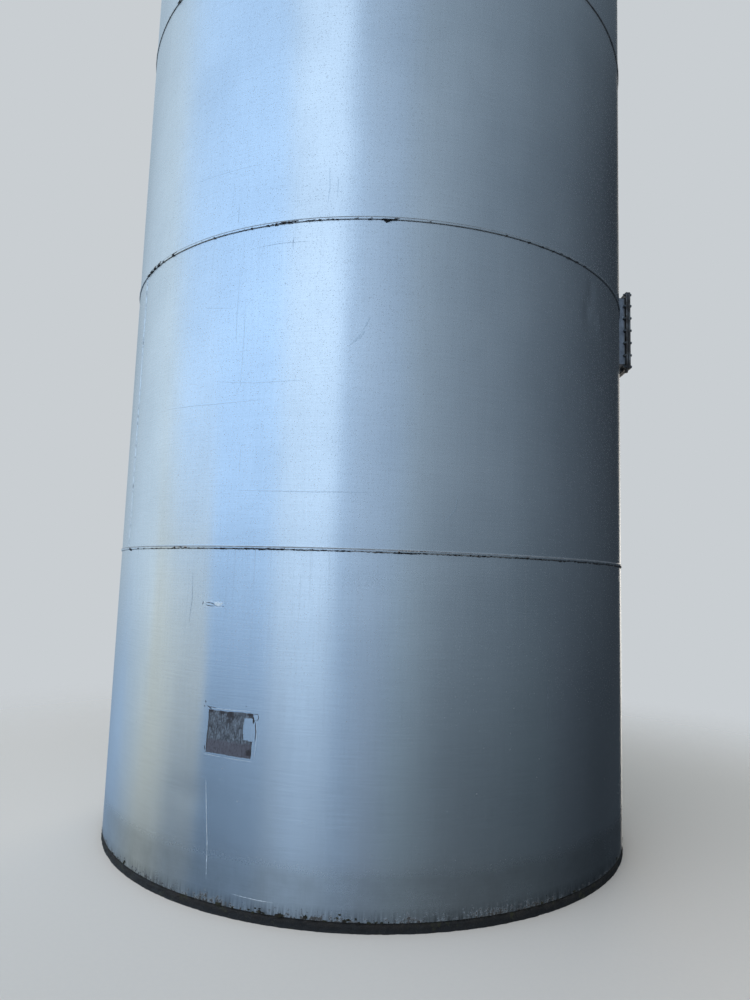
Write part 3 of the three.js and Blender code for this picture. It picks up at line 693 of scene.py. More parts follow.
def with_lines(lines, extra, clear):
    """Sorted grid lines with extra ones put in, and any closer to those than a clearance taken out."""
    extra = np.array(extra, float)
    if len(extra):
        lines = lines[np.abs(lines[:, None] - extra[None]).min(1) > clear]
    return np.sort(np.concatenate([lines, extra]))


HATCH_EDGE = math.degrees(math.asin((HATCH_NECK[0] / 2 + AIR) / RADIUS))
DOOR_EDGE = math.degrees(math.asin((DOOR_NECK[0] / 2 + AIR) / RADIUS))
# Cut-outs in the shell: lowest and highest azimuth, then lowest and highest height
HOLES = (
    (90 - HATCH_EDGE, 90 + HATCH_EDGE, HATCH_Z - HATCH_NECK[1] / 2 - AIR, HATCH_Z + HATCH_NECK[1] / 2 + AIR),
    (180 - DOOR_EDGE, 180 + DOOR_EDGE, DOOR_Z - DOOR_NECK[1] / 2 - AIR, DOOR_Z + DOOR_NECK[1] / 2 + AIR),
)


def walled(front, back, keep):
    """A closed wall over a grid of points: its front and its back on the cells kept, and a face between the
    two along every edge where a kept cell has no kept neighbour. Returns its points, its faces and each
    point's grid number."""
    n, m = front.shape[:2]
    points = np.concatenate([front.reshape(-1, 3), back.reshape(-1, 3)])
    near = np.arange(n * m).reshape(n, m)
    far = near + n * m
    i, j = np.nonzero(keep)
    faces = [np.stack([near[i, j], near[i + 1, j], near[i + 1, j + 1], near[i, j + 1]], -1),
             np.stack([far[i, j], far[i, j + 1], far[i + 1, j + 1], far[i + 1, j]], -1)]
    wide = np.pad(keep, 1)
    for di, dj, p, q in ((0, -1, (1, 0), (0, 0)), (0, 1, (0, 1), (1, 1)), (-1, 0, (0, 0), (0, 1)),
                         (1, 0, (1, 1), (1, 0))):
        i, j = np.nonzero(keep & ~wide[1 + di:n + di, 1 + dj:m + dj])
        a, b = (i + p[0], j + p[1]), (i + q[0], j + q[1])
        faces.append(np.stack([near[a], near[b], far[b], far[a]], -1))
    used, again = np.unique(np.concatenate(faces), return_inverse=True)
    return points[used], [again.reshape(-1, 4)], used % (n * m)


def course_plate(index, start, turn_step, rise_step):
    """A half-round plate as a closed wall: its outer and inner faces are r(z) + wave(a, z) and that less the
    plate's thickness, over a grid of azimuth and height. Its foot is set out over the course below as a lip.
    Cells in a cut-out are left out. Returns the wall, its points' unrolled places and their distances to an
    upright edge."""
    gap = math.degrees(AIR / 2 / RADIUS)
    begin, end = start + gap, start + 180 - gap
    bottom = course_bottom(index)
    top = EAVE if index == COURSES - 1 else bottom + COURSE_HEIGHT + LAP - AIR
    if index:
        # The last row keeps the joggle's shading off the plate above it
        bend = LAP + np.array([-0.001, 0.001, 0.0035, 0.006, JOGGLE, JOGGLE + 0.002])
        foot = np.concatenate([[0, 0.0016, 0.009], bend])
    else:
        foot = np.array([AIR])
    over_foot = np.linspace(bottom + foot[-1] + 0.03, top, int((top - bottom) / rise_step))
    rises = np.concatenate([bottom + foot, over_foot])
    turns = np.linspace(begin, end, int(180 / turn_step) + 1)
    near_edge = np.array([0.004, 0.009, 0.016, 0.030]) / RADIUS * 180 / math.pi
    turns = with_lines(turns, np.concatenate([begin + near_edge, end - near_edge]), 0.2 * turn_step)
    holes = [(first + shift, last + shift, floor, ceiling) for first, last, floor, ceiling in HOLES
             for shift in (0, 360, -360)
             if first + shift < end and last + shift > begin and floor < top and ceiling > bottom]
    turns = with_lines(turns, [x for hole in holes for x in hole[:2] if begin < x < end], 0.25 * turn_step)
    rises = with_lines(rises, [z for hole in holes for z in hole[2:] if bottom < z < top], 0.25 * rise_step)
    turns[[0, -1]], rises[[0, -1]] = (begin, end), (bottom + foot[0], top)

    over = rises - bottom
    ease = np.clip((over - LAP) / JOGGLE, 0, 1)
    proud = (AIR + PLATE) * (1 - ease * ease * (3 - 2 * ease)) if index else np.zeros_like(rises)
    nosing = 0.0012 * (over < 0.001) if index else np.zeros_like(rises)
    outer = RADIUS + proud[None] + plate_wave(turns[:, None], rises[None])
    keep = np.ones((len(turns) - 1, len(rises) - 1), bool)
    mid_turn, mid_rise = (turns[1:] + turns[:-1]) / 2, (rises[1:] + rises[:-1]) / 2
    for first, last, floor, ceiling in holes:
        across = (mid_turn > first) & (mid_turn < last)
        keep &= ~(across[:, None] & ((mid_rise > floor) & (mid_rise < ceiling))[None])
    points, faces, grid = walled(round_about(outer - nosing[None], turns[:, None], rises[None]),
                                 round_about(outer - PLATE, turns[:, None], rises[None]), keep)
    # The first course has no lip, so its pattern starts higher
    unrolled = np.stack(np.broadcast_arrays(RADIUS * np.radians(turns)[:, None] + 40.0 * index,
                                            over[None] + (0.0 if index else 0.1)), -1).reshape(-1, 2)
    margin = RADIUS * np.radians(np.minimum(turns - begin, end - turns))
    margin = np.broadcast_to(margin[:, None], (len(turns), len(rises))).ravel()
    return (points, faces), unrolled[grid], margin[grid]


def bead_along(path, out, radius, flat, sink=0.25):
    """A weld bead on a path of points, out its outward direction, one or one a point: an ellipse of the given
    half-width, flat times as tall, sunk a little into the plate. Its width lies along the path's direction
    crossed with out."""
    sides = 8
    out = np.broadcast_to(out, path.shape)
    across = np.cross(np.gradient(path, axis=0), out)
    across /= np.maximum(np.linalg.norm(across, axis=1, keepdims=True), 1e-12)
    turn = np.arange(sides) * 2 * math.pi / sides
    radius = np.broadcast_to(np.asarray(radius, float), len(path))[:, None]
    x = radius * np.cos(turn)[None]
    y = radius * flat * (np.sin(turn)[None] - sink)
    return path[:, None] + across[:, None] * x[..., None] + out[:, None] * y[..., None]


def bead_ripple(length, seed, pitch, amount=0.06):
    """Relative width of a hand-laid bead along its length: 1 plus a saw of small scales and a slow wander."""
    rng = np.random.default_rng(seed)
    scales = (length / pitch) % 1.0
    slow = sum(np.sin(2 * math.pi * length / rng.uniform(0.05, 0.4) + rng.uniform(0, 6.28)) for _ in range(4))
    return 1 + amount * (scales - 0.5) * 2 + 0.03 * slow


def gob(seam, azimuth, rise, wide, tall, seed):
    """A torn crust on a lap. Its rings go in from its rim, wide and tall times r times 1 + lumps, and stand
    thick * sqrt(1 - r^2) off the lip, or off a slope from the lip to the plate below it."""
    thick = 0.0022
    turn = np.arange(22) * 2 * math.pi / 22
    phase = np.random.default_rng(seed).uniform(0, 2 * math.pi, 6)
    lumps = 1 + sum(0.16 * np.cos(k * turn + p) for k, p in zip((2, 3, 4, 5, 7, 9), phase))
    r = np.array([1.0, 1.0, 0.85, 0.55, 0.2])[:, None]
    up = rise + r * np.sin(turn) * lumps * tall
    around = azimuth + np.degrees(r * np.cos(turn) * lumps * wide / RADIUS)
    lip = (AIR + PLATE) * np.clip(1 + up / 0.006, 0, 1) * np.clip(1 - (up - LAP) / JOGGLE, 0, 1)
    off = np.where(np.arange(5)[:, None] == 0, -0.0012, thick * np.sqrt(1 - r * r) * (0.7 + 0.5 * lumps))
    return skin(on_shell(around, course_bottom(seam) + up, lip + off))


def film(name, corners, thickness, coat, ragged, seed, cells, missing=None):
    """A thin film on the shell. Its four corners are azimuths and heights, and a point is their bilinear mix
    at (u, v) plus a wander that grows towards the edge. Its face stands off by the thickness, less at the
    edge."""
    u, v = np.meshgrid(np.linspace(0, 1, cells), np.linspace(0, 1, cells), indexing="ij")
    phase = np.random.default_rng(seed).uniform(0, 6.28, 6)

    def wandered(t, other, turns, phases):
        wander = sum(size * np.sin(k * other + p) for size, k, p in zip((1, 0.6, 0.4), turns, phases))
        return t + (2 * t - 1) * ragged * wander

    s, t = wandered(u, v, (9, 23, 51), phase[:3]), wandered(v, u, (8, 27, 47), phase[3:])
    shares = np.stack([(1 - s) * (1 - t), s * (1 - t), s * t, (1 - s) * t], -1)
    azimuth, height = np.moveaxis(shares @ np.array(corners), -1, 0)
    edge = np.minimum(np.minimum(u, 1 - u), np.minimum(v, 1 - v))
    lift = thickness * (0.45 + 0.55 * np.clip(edge * 12, 0, 1))
    mid_u, mid_v = (u[1:, 1:] + u[:-1, :-1]) / 2, (v[1:, 1:] + v[:-1, :-1]) / 2
    keep = np.ones(mid_u.shape, bool) if missing is None else ~missing(mid_u, mid_v)
    points, faces, grid = walled(on_shell(azimuth, height, lift), on_shell(azimuth, height, -0.0008), keep)
    uv = np.stack([u, v], -1).reshape(-1, 2)[grid]
    placed(name, [(points, faces)], coat, uv=uv, sharp=50)


def run_of(points):
    """Distance along a row of points from the first one."""
    return np.concatenate([[0], np.cumsum(np.linalg.norm(np.diff(points, axis=0), axis=1))])


def ribbon(route, half_width, seed):
    """A thin smear or scratch on the shell along a route of azimuths and heights, in steps of 4 mm. Its width
    is half_width times sqrt(sin(pi t)) and a wander, and it is 0.2 mm thick at most."""
    route = np.array(route, float)
    stops = run_of(route * (RADIUS * math.pi / 180, 1))
    along = np.linspace(0, stops[-1], max(8, int(stops[-1] / 0.004)))
    azimuth, height = np.interp(along, stops, route[:, 0]), np.interp(along, stops, route[:, 1])
    path, out = on_shell(azimuth, height), round_about(1.0, azimuth, 0.0)
    taper = np.sqrt(np.maximum(np.sin(math.pi * along / stops[-1]), 0.03))
    width = half_width * taper * bead_ripple(along, seed, 0.03, 0.3)
    return skin(bead_along(path, out, width, flat=0.0002 / half_width))


def ribbons(name, routes, coat, seed):
    """Smears or scratches as one piece, each a route and its half-width."""
    placed(name, [ribbon(*route, seed + k) for k, route in enumerate(routes)], coat, sharp=60)


def rectangle_path(half_width, half_height, corner, steps):
    """Points round a rectangle with round corners: four quarter circles c + r (cos t, sin t), joined up."""
    arcs = []
    for quarter, (across, up) in enumerate(((1, 1), (-1, 1), (-1, -1), (1, -1))):
        t = np.linspace(0, math.pi / 2, steps + 1) + quarter * math.pi / 2
        arcs.append(np.stack([across * (half_width - corner) + corner * np.cos(t),
                              up * (half_height - corner) + corner * np.sin(t)], -1))
    return np.concatenate(arcs)


def rectangle_loft(sections, centre_z, facing, closed=True):
    """A frame, pan or plate: round-cornered rectangles joined one after another. Each section is its depth
    along the facing axis, half-width, half-height and corner radius. A closed loft meets its own start and so
    is a ring. An open one has a flat face at each end."""
    rings = []
    for depth, half_width, half_height, corner in sections:
        flat = rectangle_path(half_width, half_height, corner, 6)
        if facing == "+X":
            rings.append(np.stack([np.full(len(flat), depth), flat[:, 0], centre_z + flat[:, 1]], -1))
        else:
            rings.append(np.stack([-flat[:, 0], np.full(len(flat), depth), centre_z + flat[:, 1]], -1))
    return skin(np.array(rings), wrap_rows=closed)


def grown(size, steps):
    """Sections from steps, each a depth, how far it reaches past half the size, and a corner radius."""
    return [(depth, size[0] / 2 + grow, size[1] / 2 + grow, corner) for depth, grow, corner in steps]


def ring_sections(outer, inner, back, front, corner, inner_corner, soft):
    """Sections of a flat frame with softened edges: round its cross-section from the outer back edge to the
    outer front edge, across to the inner front edge and home along the inside."""
    return grown(outer, ((back, -soft, corner), (back + soft, 0, corner), (front - soft, 0, corner),
                         (front, -soft, corner))) + \
        grown(inner, ((front, soft, inner_corner), (front - soft, 0, inner_corner),
                      (back + soft, 0, inner_corner), (back, soft, inner_corner)))


def neck_weld(name, neck, centre_z, facing, corner, arcs, pitch, half, ripple):
    """A weld round a neck where it meets the shell: the points of the neck's rectangle, set out along the
    facing axis to sqrt(R^2 - side^2) and the plate's own wave, and to the lip's face where the third course
    laps."""
    flat = rectangle_path(neck[0] / 2 + 0.001, neck[1] / 2 + 0.001, corner, arcs)
    flat = np.vstack([flat, flat[:1]])
    along = run_of(flat)
    steps = np.arange(0, along[-1], pitch)
    side, rise = (np.interp(steps, along, flat[:, axis]) for axis in (0, 1))
    z = rise + centre_z
    still = np.zeros_like(side)
    if facing == "+X":
        azimuth, away = 90 + np.degrees(np.arcsin(side / RADIUS)), np.stack([still, side, rise], -1)
    else:
        azimuth, away = 180 - np.degrees(np.arcsin(side / RADIUS)), np.stack([side, still, rise], -1)
    lip = np.where(np.abs(z - course_bottom(2) - 0.01) < 0.012, AIR + PLATE, 0)
    path = on_shell(azimuth, z, lip)
    out = round_about(1.0, azimuth, 0.0) + away / np.linalg.norm(away, axis=1, keepdims=True)
    out /= np.linalg.norm(out, axis=1, keepdims=True)
    bead = bead_along(path, out, half * bead_ripple(steps, *ripple), 0.75, sink=0.1)
    placed(name, [skin(bead, wrap_rows=True)], "aluminium_weld_metal")


def prism(sides, rings):
    """A closed skin of level polygons with the same number of sides, each ring its radius and height."""
    turn = np.arange(sides) * 2 * math.pi / sides
    return skin(np.array([np.stack([r * np.cos(turn), r * np.sin(turn), np.full(sides, z)], -1)
                          for r, z in rings]))


def hexagon(flats, tall):
    """A hexagonal prism along Z from 0, six corners at flats / (2 cos 30) and its top edge turned down."""
    corner = flats / 2 / math.cos(math.pi / 6)
    return prism(6, [(corner, 0.0), (corner, tall * 0.88), (corner * 0.9, tall)])


def disc(radius, bottom, top, sides, soft=0.15):
    """A round washer, screw head or stud along Z with its top edge drawn in."""
    edge = soft * min(radius, top - bottom)
    return prism(sides, [(radius, bottom), (radius, top - edge), (radius - edge, top)])


def bolt_head(flats, tall=0.44):
    """A hexagon head on a washer, its seat at 0."""
    return [disc(flats * 0.66, -0.0003, flats * 0.14, 20),
            shifted(hexagon(flats, flats * tall), (0, 0, flats * 0.13))]


def nut_and_end(flats):
    """A nut on a washer with the bolt's end standing out of it, its seat at 0."""
    return bolt_head(flats, 0.56) + [disc(flats * 0.31, flats * 0.6, flats * 1.0, 10)]


def shifted(part, by):
    """A part moved by a vector."""
    return part[0] + np.array(by, float), part[1]


def stood(parts, place, along, twist):
    """Parts made along Z, turned to run along a direction, spun by an angle about it and moved to a place."""
    along = np.array(along, float) / np.linalg.norm(along)
    side = np.cross((0.0, 0.0, 1.0), along)
    side = np.array((1.0, 0.0, 0.0)) if np.linalg.norm(side) < 1e-6 else side / np.linalg.norm(side)
    other = np.cross(along, side)
    c, s = math.cos(twist), math.sin(twist)
    basis = np.stack([c * side + s * other, -s * side + c * other, along])
    return [(points @ basis + np.array(place, float), sets) for points, sets in parts]


def bolt_circle(name, bolt, count, first, radius, seat, spin):
    """Bolts stood on a circle at the seat's height, from a first azimuth, each spun on from the last."""
    bolts = []
    for k in range(count):
        bolts += stood(bolt, round_about(radius, first + 360 / count * k, seat), (0, 0, 1), k * spin)
    placed(name, bolts, "dulled_and_shaded_galvanised_steel")


def turned_plate(name, profile, soft, coat, source, steps=240):
    """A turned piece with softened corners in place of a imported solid."""
    placed(name, [turned(rounded(profile, soft), steps)], coat, stands_for=(source,))


def softened_copy(source, name, width, coat, body=SILO):
    """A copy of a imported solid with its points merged, its flat faces joined and its edges bevelled."""
    mesh = frame["nodes"][source].data.copy()
    mesh.name = name
    work = bmesh.new()
    work.from_mesh(mesh)
    bmesh.ops.remove_doubles(work, verts=work.verts, dist=2e-6)
    bmesh.ops.dissolve_limit(work, angle_limit=math.radians(1.0), verts=work.verts, edges=work.edges)
    bmesh.ops.recalc_face_normals(work, faces=work.faces)
    sharp = [edge for edge in work.edges
             if len(edge.link_faces) == 2 and edge.calc_face_angle() > math.radians(30)]
    bmesh.ops.bevel(work, geom=sharp, offset=width, segments=2, profile=0.6, affect="EDGES",
                    clamp_overlap=True)
    for face in work.faces:
        face.smooth = True
    work.to_mesh(mesh)
    work.free()
    # The solid's own normals don't fit the bevelled copy
    if "custom_normal" in mesh.attributes:
        mesh.attributes.remove(mesh.attributes["custom_normal"])
    mesh.materials.clear()
    mesh.materials.append(finish(coat))
    mesh.set_sharp_from_angle(angle=math.radians(35))
    piece = bpy.data.objects.new(name, mesh)
    bpy.context.scene.collection.objects.link(piece)
    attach(piece, body)
    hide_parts(source)
    return piece


# What a user may change


def swatch(name, description, code):
    """A colour that a user may change, its default an sRGB hex colour."""
    return FloatVectorProperty(name=name, description=description, default=linear(code), subtype="COLOR",
                               min=0, max=1)


def metres(name, description, default, least, most):
    """A length in metres that a user may change."""
    return FloatProperty(name=name, description=description, default=default, min=least, max=most,
                         precision=4, unit="LENGTH")


class SiloColours(PropertyGroup):
    """Colours of the finishes."""

    sheet_bright: swatch("Bright sheet", "Aluminium sheet where rain keeps it clean", "#D0D4D7")
    sheet_dull: swatch("Dull sheet", "Aluminium sheet under its grey oxide", "#C5CACE")
    fabrication: swatch("Welded plate", "Cut and welded aluminium plate", "#A4AAAE")
    fabrication_dull: swatch("Dull welded plate", "Welded plate where it has greyed", "#7C8185")
    weld: swatch("Weld metal", "Weld beads", "#D8DCDF")
    sealant: swatch("Sealant", "Torn crusts of sealant on the laps", "#17181A")
    grime: swatch("Grime", "Spatter, soot along welds and runs below the laps", "#4A4C4F")
    splash: swatch("Splash film", "Dried splash water on the shell's foot", "#6E6D67")
    soil: swatch("Soil", "Splashed soil", "#251F18")
    moss: swatch("Moss", "Moss on the grout and the foot", "#36361D")
    grout: swatch("Grout", "Cement grout where it is dry", "#29241F")
    # The zinc is dulled zinc, set darker as painted shade on the fasteners
    zinc: swatch("Zinc", "Galvanised fasteners", "#787C7F")
    rust: swatch("Rust", "Rust on fasteners", "#6B3D22")
    rubber: swatch("Rubber", "Hatch gasket", "#1D1E20")
    residue: swatch("Glue residue", "Solid glue where a placard was", "#4B4850")
    film: swatch("Label film", "Torn scrap of label film and dried lime", "#D6DDDF")
    floor: swatch("Floor", "Studio floor", "#CFC8BF")
    backdrop: swatch("Backdrop", "Plain backdrop behind the silo", "#C9CED2")


class SiloSizes(PropertyGroup):
    """Sizes of the details, true to scale."""

    plate_wave: metres("Plate waviness", "How far rolled plate stands off a true circle", 0.0006, 0, 0.005)
    weld_bead: metres("Weld bead", "Half-width of an upright weld's bead", 0.0068, 0.001, 0.02)
    sealant_bead: metres("Sealant bead", "Height of the sealant under a lap", 0.0017, 0.0005, 0.01)
    hatch_bolt: metres("Hatch bolt", "Hatch bolts across their flats", 0.018, 0.008, 0.03)
    manway_bolts: IntProperty(name="Manway bolts", description="Bolts round the manway lid", default=16,
                              min=4, max=40)
    anchors: IntProperty(name="Anchors", description="Anchor bolts through the base angle", default=16,
                         min=4, max=48)
    splash_height: metres("Splash height", "How far up soil is splashed", 0.15, 0, 0.6)
    clumps: IntProperty(name="Soil clumps", description="Clumps of soil and moss round the foot", default=150,
                        min=0, max=600)


class SiloStudio(PropertyGroup):
    """Light and camera."""

    light: FloatProperty(name="Surrounding light", description="Strength of the light all round", default=1.0,
                         min=0, max=5)
    softbox: FloatProperty(name="Softbox", description="Irradiance of the wide overhead softbox", default=1.5,
                           min=0, max=10)
    lens: FloatProperty(name="Lens", description="Focal length on a 36 mm sensor", default=25.77, min=10,
                        max=200, subtype="DISTANCE_CAMERA")
    pitch: FloatProperty(name="Pitch", description="Camera's upward tilt", default=math.radians(6.41),
                         min=-1.5, max=1.5, subtype="ANGLE")
    roll: FloatProperty(name="Roll", description="Camera's roll about its view", default=math.radians(1.86),
                        min=-1.5, max=1.5, subtype="ANGLE")


def sizes_of():
    """The sizes as they are set now."""
    return bpy.context.scene.silo_sizes


# Operators, one for each piece or group of like pieces


class SILO_OT_shell_plates(Operator):
    """Make the fourteen rolled plates of the shell"""

    bl_idname = "silo.shell_plates"
    bl_label = "Shell plates"

    def execute(self, context):
        # Steps of the grid in degrees and metres, finer on the four lower plates of the front
        fine, coarse = (0.9, 0.024), (1.8, 0.055)
        for index, seam in enumerate(SEAMS):
            for side, start in (("front", seam), ("rear", seam + 180)):
                steps = fine if side == "front" and index < 4 else coarse
                part, uv, margin = course_plate(index, start, *steps)
                placed(f"plate.course_{index + 1}_{side}", [part], "weathered_mill_finish_aluminium",
                       stands_for=(f"course_{index + 1}_{side}_plate",), uv=uv, margin=margin,
                       sharp=40)
        return {"FINISHED"}


class SILO_OT_upright_welds(Operator):
    """Lay the upright welds between the plates"""

    bl_idname = "silo.upright_welds"
    bl_label = "Upright welds"

    def execute(self, context):
        half = sizes_of().weld_bead
        parts = []
        for index, seam in enumerate(SEAMS):
            bottom = course_bottom(index) + (LAP + JOGGLE if index else 0.002)
            top = min(course_bottom(index + 1) - 0.004, EAVE - 0.003)
            for azimuth in (seam, seam + 180):
                height = np.arange(bottom, top, 0.008)
                if index < 2 and abs(azimuth % 360 - 180) < DOOR_EDGE:
                    height = height[height > DOOR_Z + DOOR_NECK[1] / 2 + 0.05]
                wander = azimuth + 0.02 * np.sin(height * 9 + index)
                path, out = on_shell(wander, height), round_about(1.0, wander, 0.0)
                width = half * bead_ripple(height, index * 7 + int(azimuth) % 13, 0.016)
                parts.append(skin(bead_along(path, out, width, flat=0.35)))
        placed("weld.upright_seams", parts, "aluminium_weld_metal")
        return {"FINISHED"}


# Torn places: seam, azimuth, height over the lip's edge, half-width and half-height, in degrees and metres
TORN = (
    (2, -55.6, 0.002, 0.026, 0.006), (2, -53.6, 0.004, 0.022, 0.006), (2, -51.4, 0.003, 0.030, 0.006),
    (2, -53.4, 0.016, 0.020, 0.007), (2, -51.2, 0.018, 0.016, 0.008), (2, -49.2, 0.002, 0.014, 0.003),
    (2, -57.6, 0.000, 0.022, 0.003), (2, -45.0, 0.005, 0.018, 0.009), (2, -44.0, 0.012, 0.014, 0.004),
    (2, -32.5, 0.001, 0.007, 0.005), (2, -23.9, 0.001, 0.007, 0.004), (2, -20.6, 0.001, 0.009, 0.004),
    (2, -18.9, 0.001, 0.010, 0.007), (2, -17.6, 0.005, 0.026, 0.005), (2, -16.3, 0.004, 0.024, 0.006),
    (2, -15.1, 0.005, 0.014, 0.004), (2, -10.8, 0.002, 0.009, 0.004), (2, -8.5, 0.002, 0.007, 0.003),
    (2, 1.3, -0.001, 0.034, 0.005), (2, 0.9, -0.009, 0.017, 0.008), (2, 2.6, 0.006, 0.014, 0.003),
    (2, 28.0, 0.000, 0.008, 0.004), (2, 41.0, 0.001, 0.007, 0.003), (1, -56.9, 0.001, 0.020, 0.009),
    (1, -51.9, 0.004, 0.008, 0.003), (1, -38.2, 0.006, 0.012, 0.004), (1, -36.6, 0.008, 0.022, 0.003),
    (1, -35.2, 0.006, 0.016, 0.005), (1, -34.2, 0.002, 0.010, 0.004), (1, -31.9, 0.003, 0.007, 0.003),
    (1, -26.4, 0.001, 0.014, 0.004), (1, -21.6, 0.002, 0.012, 0.005), (1, -18.9, 0.001, 0.020, 0.006),
    (1, -17.4, 0.006, 0.010, 0.004), (1, -15.0, 0.002, 0.020, 0.004), (1, -12.8, 0.001, 0.009, 0.003),
    (1, -8.0, 0.002, 0.008, 0.003), (1, 6.0, -0.001, 0.050, 0.004), (1, 7.0, 0.012, 0.075, 0.0018),
    (1, 4.6, 0.004, 0.006, 0.007), (2, -2.0, 0.000, 0.010, 0.003), (1, 28.0, 0.004, 0.012, 0.004),
    (1, 44.0, 0.002, 0.010, 0.003), (3, -30.0, 0.002, 0.014, 0.004), (3, -50.0, 0.004, 0.020, 0.006),
    (3, 12.0, 0.002, 0.010, 0.004),
)


class SILO_OT_lap_sealant(Operator):
    """Squeeze the sealant out under each lap"""

    bl_idname = "silo.lap_sealant"
    bl_label = "Lap sealant"

    def execute(self, context):
        """The bead's height is tall * fuller(a) * (1 + waves), kept within limits. Its section runs from the
        lower plate, that far below the lip, in a hollow curve to the lip's edge, and back inside the lap."""
        tall = sizes_of().sealant_bead
        parts = []
        for index in range(1, COURSES):
            azimuth = np.arange(0, 360, 0.3 if index < 4 else 0.75)
            z = course_bottom(index)
            # Fuller on the first seam, and towards +X: beyond the sealant itself, the black bead there is
            # painted shade standing in for the shadow in the lap's gap
            turned_off = np.cos(np.radians(azimuth - 95) / 2)
            bead_and_shade_scale = (1.9 if index == 1 else 1.0) * (0.5 + 1.1 * turned_off ** 4 + 1.8 * turned_off ** 24)
            body = tall * bead_and_shade_scale * (1 + 0.30 * waves(azimuth, z, (20, 90), (5, 9), 10, 30 + index)
                                    + 0.35 * waves(azimuth, z, (150, 420), (5, 9), 12, 60 + index))
            body = np.clip(body, 0.0008, 0.018)
            reach = np.clip(body * 0.9, 0.002, AIR + PLATE - 0.0008)
            surface = RADIUS + plate_wave(azimuth, z)
            section = np.stack([round_about(surface + off, azimuth, z + rise) for off, rise in (
                (-0.001, -body), (0.0012, -body), (reach * 0.5, -body * 0.45), (reach, -0.0004),
                (reach, 0.0004), (-0.001, 0.0004))], 1)
            # A cut-out that the seam meets ends the bead on both its sides
            holes = [hole for hole in HOLES if hole[2] < z < hole[3]]
            for first, last, _, _ in holes:
                section = np.roll(section, -int(np.searchsorted(azimuth, last)), 0)
                section = section[:int(((360 - (last - first)) / 360) * len(azimuth))]
            parts.append(skin(section, wrap_rows=not holes))
        placed("sealant_and_lap_shade.laps", parts, "aged_butyl_sealant", sharp=60)
        rng = np.random.default_rng(17)
        torn = TORN + tuple((rng.integers(1, COURSES), rng.uniform(60, 290), rng.uniform(0, 0.008),
                             rng.uniform(0.006, 0.024), rng.uniform(0.003, 0.006)) for _ in range(60))
        # Ragged stretches: seam, first and last azimuth, number of lumps and their largest half-height
        for seam, first, last, count, most in ((1, -24, -3, 34, 0.0036), (1, -3, 70, 44, 0.0028),
                                               (1, -58, -24, 18, 0.0030), (2, -24, 50, 18, 0.0024)):
            torn += tuple((seam, rng.uniform(first, last), rng.uniform(0.0, 0.004), rng.uniform(0.004, 0.013),
                           rng.uniform(0.0015, most)) for _ in range(count))
        # None of them on the door, 20 degrees to each side of it
        crusts = [gob(*place, 300 + k) for k, place in enumerate(torn)
                  if not (place[0] == 1 and abs(place[1] - 180) < 20)]
        placed("sealant.torn_crusts", crusts, "torn_sealant_crust", sharp=60)
        return {"FINISHED"}


class SILO_OT_base(Operator):
    """Make the grout bed, the base angle and its anchor bolts"""

    bl_idname = "silo.base"
    bl_label = "Base"

    def execute(self, context):
        """The grout's section runs up its eroded outer face, is thrown up a little against the plate and
        comes home inside. Its face is worn back by 4.5 mm times 1 + waves."""
        outer = high("grout_ring")[0]
        azimuth = np.arange(0, 360, 0.5)
        # Share of the bed's width, share of its height and how far the face is worn
        section = np.array([(0, 0, 0.4), (0, 0.25, 1), (0, 0.5, 1), (0, 0.72, 1), (0.05, 0.9, 1),
                            (0.14, 1.0, 0.8), (1, 1.0, 0), (1, 0.5, 0), (1, 0, 0)])
        inward, up, worn = section.T
        rough, fine = (
            np.stack([waves(azimuth, k * step, rounds, (0.6, 2), count, seed + k) for k in range(len(up))], 1)
            for step, rounds, count, seed in ((0.4, (30, 200), 14, 80), (0.9, (220, 340), 10, 95)))
        radius = outer - inward * 0.1 - worn * (0.0045 + 0.0022 * rough + 0.0014 * fine)
        height = up * GROUT_TOP - worn * (up > 0.8) * 0.0016 * (1 + rough)
        height = np.clip(height, 0, GROUT_TOP - 0.0002)
        bed = skin(round_about(np.minimum(radius, outer), azimuth[:, None], height), wrap_rows=True)
        placed("base.grout", [bed], "washed_cement_grout", stands_for=("grout_ring",), sharp=50)

        reach = high("base_angle_ring")[0]
        lo, hi = span("base_angle_ring", 2)
        inside, seat = reach - ROLLED, lo + ROLLED
        profile = [(reach - LEG, lo), (reach, lo), (reach, hi), (inside, hi), (inside, seat),
                   (reach - LEG, seat)]
        turned_plate("base.angle", profile, 0.002, "brushed_welded_aluminium",
                     "base_angle_ring")
        count = sizes_of().anchors
        bolt_circle("base.anchor_nuts", nut_and_end(0.024), count, 180 / count, reach - 0.046, seat, 1.3)
        return {"FINISHED"}


